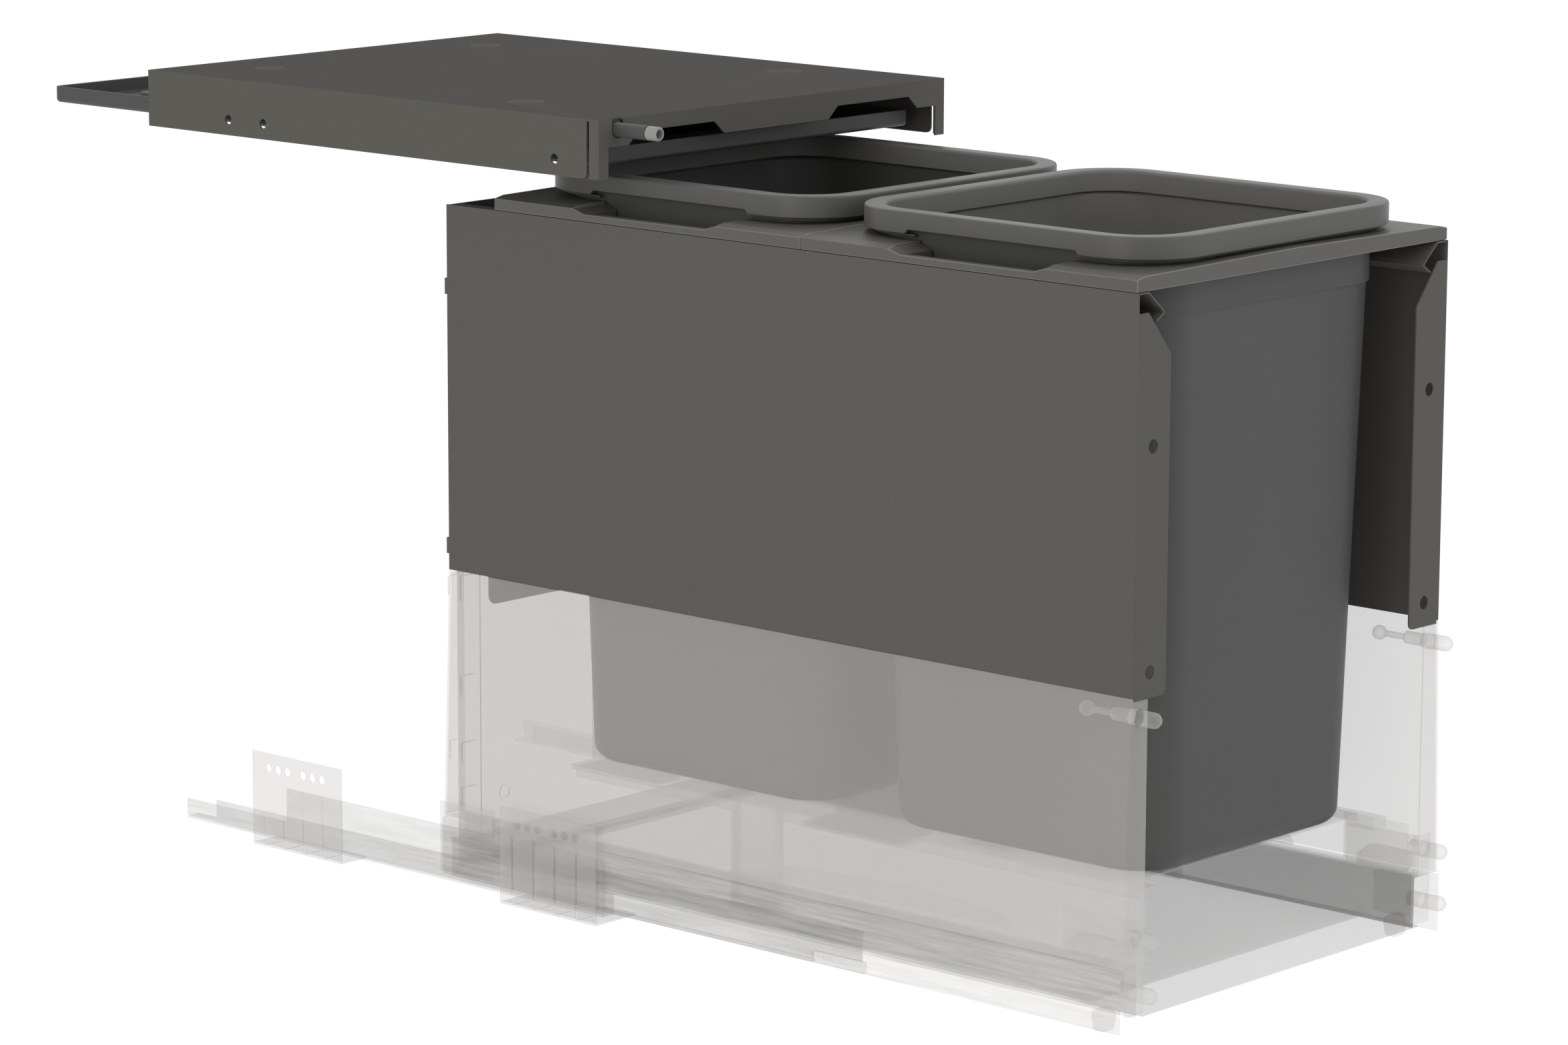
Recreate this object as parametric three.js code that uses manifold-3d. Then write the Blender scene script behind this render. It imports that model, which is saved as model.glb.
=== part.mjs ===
// Pull out trash cabinet: a runner-mounted carriage with two bins, shown pulled out under its fixed lid.
// Units are millimetres. +X is right seen from the front, +Y runs into the cabinet, +Z is up.
// Every y below is measured from the lid's front face and every z from the underside of the runner
// brackets; one group at the end moves the whole to its origin at the bottom centre.
import * as THREE from 'three';
import { mergeVertices } from 'three/addons/utils/BufferGeometryUtils.js';
import Module from 'manifold-3d';

const wasm = await Module();
wasm.setup();

// ---- Clearances ---------------------------------------------------------------------------
const seat = 0.3;             // between a piece and what it rests on
const holePlay = 0.3;         // radial play of a dowel or rod in its hole
const facePlay = 0.001;       // keeps two faces of one skin from lying in the same plane
const overcut = 1;            // how far a cut runs past the faces that it opens

// ---- Fixed side: lid, runners and brackets ------------------------------------------------
const cabinetWidth = 318;     // clear width between the carcass sides
const lidHalf = cabinetWidth / 2;
const lidDepth = 400;
const lidSheet = 1.2;
const lidFlangeHeight = 36;
const lidFlangeSetback = 10;  // where the side flange starts behind the front face
const lidFlangeCorner = 4;
const legCorner = 3;
const legWidth = 8.5;
const legReturn = 8;
const fasciaHeight = 17;
const notchRise = 7.8;
const notchOuterX = lidHalf - 26;
const notchInnerX = 48;
const notchSlope = 8.7;       // sideways run of each slanted notch end
const flangeHoleRadius = 3.1;
const flangeHoleDrop = 26;
const flangeHoleY = [37, 293, 325];
const dishRadius = 12;
const dishFloorRadius = 5.4;
const dishDepth = 2.4;
const screwHoleRadius = 3;
const pilotRadius = 0.9;
const pilotStep = 18;         // from a dish forward to its pilot hole
const frontDishX = lidHalf - 41;
const frontDishY = 101;
const rearDishX = lidHalf - 63.5;
const rearDishY = lidDepth - 49;
const rodX = 16.8 - lidHalf;
const rodRadius = 4.5;
const rodDrop = 6.9;          // rod axis below the lid's top
const rodFront = -25;
const rodRear = 36;
const rodTipLength = 9;
const rodTipRadius = 4.4;
const rodTipBore = 2.9;
const rodTipBoreDepth = 6;
const rodTipChamfer = 0.8;
const rodStroke = 38.5;
const rodNotchWidth = 10.5;
const rodNotchDepth = 3.5;
const guideWidth = 13.6;
const guideHeight = 12.5;
const guideFront = 3;
const postRadius = 3;
const postFlangeRadius = 5;
const postFlangeHeight = 2;
const postChamfer = 0.6;
const sleeveWall = 1.8;
const sleeveRise = 17;        // sleeve top above the tray floor

const bracketWidth = 82;
const bracketHeight = 62;
const bracketSheet = 1.2;
const bracketFlange = { front: 36, rear: 22 };
const bracketFrontY = [4.5, 229];
const bracketHoleRadius = 3;
const bracketHoleZ = 52.2;
const bracketHolePitch = 8.7;
const bracketGroupPitch = 32;
const bracketFirstHole = 17.8;  // from the front edge to the first hole
const slotWidth = 1.6;
const slotTopZ = 44;
const slotPitch = 18.3;
const slotFirst = 9.8;        // from the rear edge to the first slot
const slotReach = 14;         // the slots run this far into the flange
const runnerGap = 0.4;        // between the bracket plate and the cabinet runner's web
const runnerSheet = 1.2;
const runnerShelfZ = 6;
const runnerWebTop = 41;
const runnerWebLength = 281;
const runnerLength = 376;
const runnerLowWall = 19;     // top of the low rear web and of the inner lip
const runnerLipInset = 18;    // the inner lip stops this far before the rear end
const runnerShelfWidth = 9.2; // from the web in to the inner lip
const middleWidth = 3.8;
const middleSheet = 1.2;
const middlePlay = 0.8;        // between the drawer profile's skirt and the middle runner
const middleBottomZ = 8;
const middleTopZ = 33;
const middleFront = -205;
const middleLength = 341;
const clipLength = 38;
const clipHeight = 6.6;
const clipNose = 2;           // the clip stands this far ahead of the middle runner
const clipProud = 0.3;        // and this far out of its inner side
const clipGrooveEnds = [8, 6];
const clipGrooveDepth = 0.5;
const clipGrooveEdge = 2;

// ---- Carriage -----------------------------------------------------------------------------
const carriageInset = 12;     // from the carcass side to the carriage's side panel
const carriageHalf = lidHalf - carriageInset;
const panelSheet = 1;
const panelFront = -400.8;
const panelLength = 542.1;
const panelHeight = 229.1;
const panelFlangeX = carriageHalf - 30;  // inner edge of the upper front flange
const panelFlangeDrop = 11.6; // flange top below the panel's top
const panelFlangeTopWidth = 9.6;
const panelFlangeSlope = 25.1;
const panelJoint = 0.4;        // open joint between the lower and the upper panel
const panelFlangeFoot = 1.9;  // the front flange reaches this far below the panel
const panelHoleX = carriageHalf - 15.3;
const panelHoleRadius = 4.1;
const panelHolePitch = 128.8;
const panelHoleDrop = 87.5;
const rearFlangeWidth = 14;
const lipShelf = 9.5;
const lipInnerX = carriageHalf - 23;
const lipHookX = carriageHalf - 16.5;
const lipDrop = 17;
const lipKnee = [1.2, 0.6];   // the lip's knee: out from its inner edge, share of its drop
const lipElbow = 0.76;        // share of the drop where the hook starts
const lipSetback = 0.4;       // from the panel's front edge to the lip
const panelFlangeCorner = 4;
const panelFlangeInset = 2;   // the flange's foot keeps this far from the outer face
const lugDepth = 2;
const lugHeight = 10;
const panelLugDrops = [45.9, 209];
const panelLugWidth = 4;
const backTongueHalf = carriageHalf - 33;
const backTongueDrop = 27.6;
const backTongueCorner = 6;
const drawerTopZ = 46;
const drawerOuterX = lidHalf - 4.2;
const drawerInnerX = drawerOuterX - 20.8;
const drawerSheet = 1.2;
const drawerCorner = 1.5;
const drawerEdge = 1;
const drawerSkirtZ = 9;       // bottom of the outer skirt
const drawerInnerSkirtZ = 14;
const drawerFront = -396.5;
const drawerSkirtFront = -400.8;
const drawerRear = 141;
const lowerPanelHeight = 155.9;
const lowerPanelFootX = lidHalf - 6.3;
const lowerFlangeX = carriageHalf - 14;
const lowerRearFlangeX = carriageHalf - 12;
const lowerFlangeFoot = 0.5;  // the flanges stop this far above the skin's foot
const lowerLugX = [carriageHalf - 7, carriageHalf - 0.5];
const lowerLugDrops = [4.2, 109.2];
const lowerLugHeight = 12;
const cheekFront = -306;
const cheekFrontZ = 57;
const cheekCrown = -226;
const cheekCrownZ = 61.5;
const cheekShoulder = -127;
const cheekShoulderZ = 56.6;
const cheekRear = -91;
const cheekRound = 7;
const cheekBow = 0.8;
const floorTopZ = 16.5;
const floorSheet = 1;
const linerSheet = 0.8;
const linerFront = -363.4;
const linerRear = 128;
const linerInset = 1;
const railTopZ = 29;
const railBottomZ = 10;
const railDepth = 8;
const railInset = 4;          // from the drawer profile to the rail's end
const wallHalf = carriageHalf - 8;
const wallTopDrop = 1;
const wallLugX = [carriageHalf - 24, carriageHalf - 12];
const wallLugDrops = [6.2, 70.2, 113.2, 142.2];
const wallLugHeights = [16, 13, 12, 15];
const wallRibX = carriageHalf - 30;
const wallRibWidth = 1.2;
const wallBossX = carriageHalf - 50;
const wallBossZ = 51;
const wallBossRadius = [5, 4.1];
const wallBossRise = 0.8;
const baseHalfWidth = carriageHalf - 29;
const baseFront = -372;
const baseRear = 60;
const baseEdge = 7;           // depth of the base plate's turned-down edges
const baseSheet = 1.2;
const wingRearX = carriageHalf - 25;
const wingRearSpan = [-17, 60];
const wingMidX = carriageHalf - 11;
const wingMidSpan = [-219.5, -143];
const wingRoot = 5;           // overlap of a wing or tab with the plate
const baseTabFront = -387;
const baseTabWidth = 13;
const baseLegSpan = [-106, -70];
const baseLegDepth = 8;
const baseFootWidth = 20;
const binPitch = 251;
const rearBinY = -24.6;
const binTopHalf = [carriageHalf - 31.9, 108.1];
const binFloorHalf = [carriageHalf - 44.6, 103.2];
const binTopCorner = 38;
const binFloorCorner = 34;
const binWall = 2.4;
const binFloorRound = 10;
const binFloorChamfer = 3;
const binInnerRound = [7, 12]; // inset and height of the hollow's rounded foot
const bandShoulder = 0.6;
const bandInnerDrop = 1.5;
const binFloorZ = 85.2;
const binBandZ = 411;         // lower edge of the band round the rim
const bandStep = 1.7;
const rimFlangeHalf = [carriageHalf - 26, 114];
const rimFlangeHeight = 1.7;
const rimNotchHalf = 60;      // the flange is left out this far each way at the grips
const flangeCornerInset = 4;  // the flange's corner radius below the ring's
const rimHeight = 10.3;
const rimWall = 2;
const rimPlay = 0.3;          // the notch stops this far outside the rim
const rimInset = 7.7;         // from the ring's outline in to the bin's rim
const ringHalf = [carriageHalf - 21.8, 118.3];
const ringCorner = 42.5;
const ringWidth = 13;
const ringHeight = 13;
const ringWall = 2.5;
const ringInnerWall = 2;
const ringRound = [[0, 1.4], [0.4, 0.4], [1.4, 0]];  // inset and depth below the top, from side to top
const ringStepHalf = 62;
const ringStepRise = 2.5;
const frameHeight = 7.2;
const frameCrown = [[0.95, 1.5], [0.6, 2.2], [0, 3.3]];  // share of the half width, rise of the top
const framePlate = 2.4;
const frameWall = 2;
const frameRear = 99.8;
const frameSetback = 0.8;     // the front frame stops this far behind the panels' front edges
const frameOpeningPlay = 1;
const gripHalf = 58;
const gripRamp = 9;
const gripOuterX = carriageHalf - 6;
const gripDrop = 2.8;
const gripInset = 5;          // the grip starts this far inside the opening's edge
const trayHalfWidth = lidHalf - 14.5;
const trayFront = 17;
const trayRear = 509;
const trayHeight = 10.5;
const trayWall = 1.8;
const trayFloor = 1.5;
const trayCorner = 4;
const trayFoot = 2;
const trayWellTaper = 1.5;
const trayStepTaper = 2;
const trayStepInset = 35;
const trayStepHeight = 5;
const trayToRing = 7.7;       // from the rings' tops up to the tray
const trayToLid = 20;         // from the tray's top edge up to the lid's top

const dowelX = drawerInnerX + 6.2;
const dowelRadius = 4.75;
const dowelTip = -415.6;
const dowelRound = 4.2;
const dowelLength = 20.3;
const dowelChamfer = 0.5;
const lowDowelLength = 25.6;
const upperDowelDrop = 11.6;  // upper dowel axis below the lower panel's top
const midDowelZ = 62.6;
const lowDowelZ = 30.6;
const ballRadius = 4.6;
const ballY = -363;
const screwNeckRadius = 2;
const screwBodyRadius = 4;
const screwBodyRear = -383;
const bracketPlateX = [drawerInnerX - 3, drawerInnerX + 12.6];   // passes inside the runner lip when closed
const frontBracketTopZ = 71;
const frontBracketSheet = 2;
const bracketFoot = 0.5;      // from the drawer bottom up to the bracket plate
const armInset = 1.5;         // from the profile's inner face to the arm
const armRear = -345;
const armSheet = 1.5;
const capFront = -390;
const capRear = -345.5;
const capZ = [50, 76];
const capRim = 1.5;
const capThickness = 2;
const capSeat = 1.2;          // the cap's back lies this far inside the profile's inner face
const capMark = [14, 1.5, 5, 0.5];  // width, height, drop and depth of the mark near the cap's top
const adjusterFront = -389.5;
const adjusterRear = -352;
const adjusterTopZ = 59;
const adjusterWidth = 6;
const adjusterFrontCorner = [3, 4, 3, 6];  // foot run and rise, head drop and run
const adjusterRearCorner = [8, 6];  // head run, foot rise
const leverX = [drawerInnerX + 3, drawerInnerX + 11];
const leverY = -379;
const leverPivotZ = 13;
const leverTopRadius = 6;
const leverTipHalf = 3.6;
const leverTipZ = 5;
const leverWaist = 0.6;       // the lever's blade is this much wider than its tip, each side
const leverTipCut = [0.4, 1]; // chamfer of the tip
const housingX = [drawerInnerX + 2, drawerInnerX + 12];
const housingFront = -389.5;
const housingRear = -366;
const housingPlay = 0.4;      // over the lever's head
const connectorSpan = [96, 142];
const connectorZ = [11, 56];
const connectorSheet = 0.8;
const connectorPlay = 0.2;

// ---- Derived levels and places ------------------------------------------------------------
const lowerPanelZ = drawerTopZ + seat;
const lowerPanelTop = lowerPanelZ + lowerPanelHeight;
const upperPanelZ = lowerPanelTop + panelJoint;
const panelTop = upperPanelZ + panelHeight;
const frameZ = panelTop + seat;
const frameTop = frameZ + frameHeight;
const frameCrownTop = frameTop + frameCrown[frameCrown.length - 1][1];
const rimFlangeZ = frameCrownTop + seat;
const ringZ = rimFlangeZ + rimFlangeHeight + seat;
const ringTop = ringZ + ringHeight;
const trayZ = ringTop + trayToRing;
const trayTop = trayZ + trayHeight;
const lidTop = trayTop + trayToLid;
const lidUnder = lidTop - lidSheet;
const panelRear = panelFront + panelLength;
const backPlateFront = panelRear - 2 * panelSheet - seat;
const frontBinY = rearBinY - binPitch;
const frameSeam = (rearBinY + frontBinY) / 2;
const frameFront = panelFront + frameSetback;
const runnerWebX = lidHalf - bracketSheet - runnerGap - runnerSheet;
const runnerLipX = runnerWebX - runnerShelfWidth;
const middleX = drawerOuterX - drawerSheet - middlePlay - middleWidth;
const upperDowelZ = lowerPanelTop - upperDowelDrop;
const rodZ = lidTop - rodDrop;
const bandHalf = [binTopHalf[0] + bandStep, binTopHalf[1] + bandStep];
const openingHalf = [bandHalf[0] + frameOpeningPlay, bandHalf[1] + frameOpeningPlay];
const baseTopZ = binFloorZ - seat;

// ---- Solid helpers ------------------------------------------------------------------------
function toSolid(geometry) {
  const bare = geometry.clone();
  bare.deleteAttribute('normal');
  bare.deleteAttribute('uv');
  const merged = mergeVertices(bare, 1e-5);
  return new wasm.Manifold(new wasm.Mesh({
    numProp: 3,
    vertProperties: new Float32Array(merged.attributes.position.array),
    triVerts: new Uint32Array(merged.index.array),
  }));
}

function toGeometry(solid) {
  const mesh = solid.getMesh();
  const points = new Float32Array(mesh.numVert * 3);
  for (let vertex = 0; vertex < mesh.numVert; vertex += 1) {
    for (let axis = 0; axis < 3; axis += 1) {
      points[vertex * 3 + axis] = mesh.vertProperties[vertex * mesh.numProp + axis];
    }
  }
  const geometry = new THREE.BufferGeometry();
  geometry.setAttribute('position', new THREE.BufferAttribute(points, 3));
  geometry.setIndex(new THREE.BufferAttribute(new Uint32Array(mesh.triVerts), 1));
  geometry.computeVertexNormals();
  return geometry;
}

function joined(parts, cuts = []) {
  let solid = toSolid(parts[0]);
  for (const part of parts.slice(1)) {
    solid = solid.add(toSolid(part));
  }
  for (const cut of cuts) {
    solid = solid.subtract(toSolid(cut));
  }
  return toGeometry(solid);
}

// Moves every point of a unit geometry to its exact place, so that faces meant to meet share one value.
function moved(geometry, toPoint) {
  const points = geometry.attributes.position;
  for (let index = 0; index < points.count; index += 1) {
    points.setXYZ(index, ...toPoint(points.getX(index), points.getY(index), points.getZ(index)));
  }
  geometry.computeVertexNormals();
  return geometry;
}

function block(x, y, z) {
  const end = (span, value) => (value > 0 ? span[1] : span[0]);
  return moved(new THREE.BoxGeometry(1, 1, 1), (u, v, w) => [end(x, u), end(y, v), end(z, w)]);
}

function unitPrism(shape, steps) {
  return new THREE.ExtrudeGeometry(shape, { depth: 1, bevelEnabled: false, curveSegments: steps });
}

// An outline in the X-Y plane, raised along Z.
function prismZ(shape, z, steps = 2) {
  return moved(unitPrism(shape, steps), (u, v, w) => [u, v, w > 0.5 ? z[1] : z[0]]);
}

// An outline in the X-Z plane, drawn along Y.
function prismY(shape, y, steps = 2) {
  return moved(unitPrism(shape, steps), (u, v, w) => [u, w > 0.5 ? y[0] : y[1], v]);
}

// An outline in the Y-Z plane, drawn along X.
function prismX(shape, x, steps = 2) {
  return moved(unitPrism(shape, steps), (u, v, w) => [w > 0.5 ? x[1] : x[0], u, v]);
}

function cylinderY(x, z, radius, y, sides = 12) {
  const geometry = new THREE.CylinderGeometry(radius, radius, y[1] - y[0], sides);
  return geometry.translate(x, (y[0] + y[1]) / 2, z);
}

function cylinderX(y, z, radius, x, sides = 12) {
  const geometry = new THREE.CylinderGeometry(radius, radius, x[1] - x[0], sides);
  return geometry.rotateZ(Math.PI / 2).translate((x[0] + x[1]) / 2, y, z);
}

function cylinderZ(x, y, radius, z, sides = 12) {
  const geometry = new THREE.CylinderGeometry(radius, radius, z[1] - z[0], sides);
  return geometry.rotateX(Math.PI / 2).translate(x, y, (z[0] + z[1]) / 2);
}

function outline(points) {
  return new THREE.Shape(points.map(([u, v]) => new THREE.Vector2(u, v)));
}

function roundedRectangle(halfX, halfY, radius, centreY = 0) {
  const shape = new THREE.Shape();
  const quarter = Math.PI / 2;
  const x = halfX - radius;
  const y = halfY - radius;
  shape.absarc(x, centreY + y, radius, 0, quarter);
  shape.absarc(-x, centreY + y, radius, quarter, 2 * quarter);
  shape.absarc(-x, centreY - y, radius, 2 * quarter, 3 * quarter);
  shape.absarc(x, centreY - y, radius, 3 * quarter, 4 * quarter);
  return shape;
}

// A wall of constant thickness that follows a line of points in the section plane.
function strip(points, thickness) {
  const left = [];
  const right = [];
  points.forEach((point, index) => {
    const before = points[Math.max(index - 1, 0)];
    const after = points[Math.min(index + 1, points.length - 1)];
    const into = new THREE.Vector2(point[0] - before[0], point[1] - before[1]).normalize();
    const out = new THREE.Vector2(after[0] - point[0], after[1] - point[1]).normalize();
    const along = index === 0 ? out : index === points.length - 1 ? into : into.clone().add(out).normalize();
    const reference = index === 0 ? out : into;
    const normal = new THREE.Vector2(-along.y, along.x);
    const straight = new THREE.Vector2(-reference.y, reference.x);
    const reach = thickness / normal.dot(straight);
    left.push([point[0], point[1]]);
    right.push([point[0] + normal.x * reach, point[1] + normal.y * reach]);
  });
  return outline([...left, ...right.reverse()]);
}

// A closed skin through rounded rectangles: [halfX, halfY, corner, z], from the first cap to the last.
function loft(levels, steps = 5) {
  const positions = [];
  const perLevel = 4 * (steps + 1);
  for (const [halfX, halfY, corner, z] of levels) {
    for (let index = 0; index < perLevel; index += 1) {
      const quadrant = Math.floor(index / (steps + 1));
      const angle = (quadrant + (index % (steps + 1)) / steps) * (Math.PI / 2);
      const signX = quadrant === 0 || quadrant === 3 ? 1 : -1;
      const signY = quadrant < 2 ? 1 : -1;
      positions.push(
        signX * (halfX - corner) + corner * Math.cos(angle),
        signY * (halfY - corner) + corner * Math.sin(angle),
        z,
      );
    }
  }
  const faces = [];
  for (let level = 0; level + 1 < levels.length; level += 1) {
    for (let index = 0; index < perLevel; index += 1) {
      const next = (index + 1) % perLevel;
      const a = level * perLevel + index;
      const b = level * perLevel + next;
      const c = a + perLevel;
      const d = b + perLevel;
      faces.push(a, b, d, a, d, c);
    }
  }
  const last = (levels.length - 1) * perLevel;
  for (let index = 1; index + 1 < perLevel; index += 1) {
    faces.push(0, index + 1, index);
    faces.push(last, last + index, last + index + 1);
  }
  const geometry = new THREE.BufferGeometry();
  geometry.setAttribute('position', new THREE.BufferAttribute(new Float32Array(positions), 3));
  geometry.setIndex(faces);
  return geometry;
}

function mirrored(geometry) {
  const copy = geometry.clone().applyMatrix4(new THREE.Matrix4().makeScale(-1, 1, 1));
  if (!copy.index) {
    return mirrored(mergeVertices(geometry));
  }
  const faces = copy.index.array;
  for (let face = 0; face < faces.length; face += 3) {
    [faces[face + 1], faces[face + 2]] = [faces[face + 2], faces[face + 1]];
  }
  copy.computeVertexNormals();
  return copy;
}

// ---- Materials ----------------------------------------------------------------------------
const finish = {
  coatedSteel: () => new THREE.MeshStandardMaterial({ color: 0x5d5c56, roughness: 0.55, metalness: 0.1 }),
  binPlastic: () => new THREE.MeshStandardMaterial({ color: 0x565755, roughness: 0.5, metalness: 0 }),
  framePlastic: () => new THREE.MeshStandardMaterial({ color: 0x585955, roughness: 0.5, metalness: 0 }),
  palePlastic: () => new THREE.MeshStandardMaterial({ color: 0x96958f, roughness: 0.5, metalness: 0 }),
  ghostSteel: () => new THREE.MeshStandardMaterial({
    color: 0xb9b8b1, roughness: 0.4, metalness: 0.2, transparent: true, opacity: 0.35,
  }),
  ghostPlastic: () => new THREE.MeshStandardMaterial({
    color: 0xc4c3bd, roughness: 0.4, metalness: 0, transparent: true, opacity: 0.4,
  }),
};

// ---- Scene graph --------------------------------------------------------------------------
const cabinetSide = new THREE.Group();
const carriage = new THREE.Group();
const whole = new THREE.Group();
whole.add(cabinetSide, carriage);
whole.position.y = -(trayRear + dowelTip) / 2;
const model = new THREE.Group();
model.add(whole);

function add(group, name, geometry, material, place = [0, 0, 0]) {
  const mesh = new THREE.Mesh(geometry, material());
  mesh.name = name;
  mesh.position.set(...place);
  group.add(mesh);
}

function addPair(group, name, geometry, material) {
  add(group, `${name}_right`, geometry, material);
  add(group, `${name}_left`, mirrored(geometry), material);
}

// ---- Lid ----------------------------------------------------------------------------------
function topCover() {
  const half = lidHalf;
  const flangeZ = lidTop - lidFlangeHeight;
  const fasciaZ = lidTop - fasciaHeight;
  const flange = new THREE.Shape();
  const corner = lidFlangeCorner;
  flange.moveTo(lidFlangeSetback, lidTop);
  flange.lineTo(lidFlangeSetback, flangeZ + corner);
  flange.absarc(lidFlangeSetback + corner, flangeZ + corner, corner, Math.PI, Math.PI * 1.5);
  flange.lineTo(lidDepth, flangeZ);
  flange.lineTo(lidDepth, lidTop);
  const leg = new THREE.Shape();
  leg.moveTo(0, lidTop);
  leg.lineTo(0, flangeZ + legCorner);
  leg.absarc(legCorner, flangeZ + legCorner, legCorner, Math.PI, Math.PI * 1.5);
  leg.lineTo(legReturn, flangeZ);
  leg.lineTo(legReturn, lidTop);
  const parts = [
    block([-half, half], [0, lidDepth], [lidUnder, lidTop]),
    block([-half, half], [0, lidSheet], [fasciaZ, lidTop]),
  ];
  for (const side of [-1, 1]) {
    const across = side > 0 ? [half - lidSheet, half] : [-half, -half + lidSheet];
    const face = side > 0 ? [half - legWidth, half] : [-half, -half + legWidth];
    parts.push(prismX(flange, across));
    parts.push(prismX(leg, across));
    parts.push(block(face, [0, lidSheet], [flangeZ, lidTop]));
  }
  for (const [x, y] of dishPlaces()) {
    parts.push(new THREE.CylinderGeometry(dishRadius, dishFloorRadius + lidSheet, dishDepth + lidSheet, 24)
      .rotateX(Math.PI / 2).translate(x, y, lidTop - (dishDepth + lidSheet) / 2));
  }
  const cuts = [];
  for (const side of [-1, 1]) {
    const notch = outline([
      [side * notchOuterX, fasciaZ - overcut], [side * notchOuterX, fasciaZ],
      [side * (notchOuterX - notchSlope), fasciaZ + notchRise],
      [side * (notchInnerX + notchSlope), fasciaZ + notchRise],
      [side * notchInnerX, fasciaZ], [side * notchInnerX, fasciaZ - overcut],
    ]);
    cuts.push(prismY(notch, [-overcut, lidSheet + overcut]));
    const outside = [side * (half + overcut), side * (half - lidSheet - overcut)].sort((a, b) => a - b);
    cuts.push(block(outside, [legReturn, lidFlangeSetback], [flangeZ - overcut, lidUnder]));
    for (const y of flangeHoleY) {
      cuts.push(cylinderX(y, lidTop - flangeHoleDrop, flangeHoleRadius, outside, 18));
    }
  }
  for (const [x, y] of dishPlaces()) {
    cuts.push(new THREE.CylinderGeometry(dishRadius, dishFloorRadius, dishDepth, 24)
      .rotateX(Math.PI / 2).translate(x, y, lidTop - dishDepth / 2 + facePlay));
    cuts.push(cylinderZ(x, y, screwHoleRadius, [lidUnder - dishDepth - overcut, lidTop], 16));
    cuts.push(cylinderZ(x, y - pilotStep, pilotRadius, [lidUnder - overcut, lidTop + overcut], 8));
  }
  const notchHalf = rodNotchWidth / 2;
  cuts.push(cylinderY(rodX, rodZ, rodRadius + 2 * holePlay, [-overcut, lidSheet + overcut], 16));
  cuts.push(block([rodX - notchHalf, rodX + notchHalf], [-overcut, rodNotchDepth], [rodZ, lidTop + overcut]));
  return joined(parts, cuts);
}

function dishPlaces() {
  const places = [];
  for (const side of [-1, 1]) {
    places.push([side * frontDishX, frontDishY]);
    places.push([side * rearDishX, rearDishY]);
  }
  return places;
}

function coverPost() {
  // Lathe about the post's own axis: a small flange under the dish, then the pin down into its sleeve.
  const top = lidUnder - dishDepth - seat;
  const flangeUnder = top - postFlangeHeight;
  const end = trayZ + trayFloor + seat;
  const profile = [
    [0, end], [postRadius - postChamfer, end], [postRadius, end + postChamfer], [postRadius, flangeUnder],
    [postFlangeRadius, flangeUnder], [postFlangeRadius, top], [0, top],
  ].map(([r, z]) => new THREE.Vector2(r, z));
  return new THREE.LatheGeometry(profile, 12).rotateX(Math.PI / 2);
}

function rodGuide() {
  const half = guideWidth / 2;
  const top = lidUnder - seat;
  const length = [guideFront, guideFront + rodRear - lidSheet + rodStroke];
  return joined(
    [block([rodX - half, rodX + half], length, [top - guideHeight, top])],
    [cylinderY(rodX, rodZ, rodRadius + holePlay, [length[0] - overcut, length[1] + overcut], 16)],
  );
}

function rodTip() {
  const length = rodTipLength;
  const profile = [
    [0, 0], [rodTipRadius - rodTipChamfer / 2, 0], [rodTipRadius, rodTipChamfer / 2],
    [rodTipRadius, length - rodTipChamfer], [rodTipRadius - rodTipChamfer, length],
    [rodTipBore, length], [rodTipBore, length - rodTipBoreDepth],
    [0, length - rodTipBoreDepth],
  ].map(([r, y]) => new THREE.Vector2(r, y));
  return new THREE.LatheGeometry(profile, 14).rotateZ(Math.PI);
}

add(cabinetSide, 'top_cover', topCover(), finish.coatedSteel);
for (const [place, x, y] of [['front', frontDishX, frontDishY], ['rear', rearDishX, rearDishY]]) {
  add(cabinetSide, `cover_post_${place}_right`, coverPost(), finish.binPlastic, [x, y, 0]);
  add(cabinetSide, `cover_post_${place}_left`, coverPost(), finish.binPlastic, [-x, y, 0]);
}
add(cabinetSide, 'rod_guide', rodGuide(), finish.binPlastic);
const rodBody = joined([cylinderY(rodX, rodZ, rodRadius, [rodFront, rodRear], 16)]);
add(cabinetSide, 'push_rod', rodBody, finish.binPlastic);
add(cabinetSide, 'push_rod_tip', rodTip(), finish.palePlastic, [rodX, rodFront - seat, rodZ]);

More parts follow.
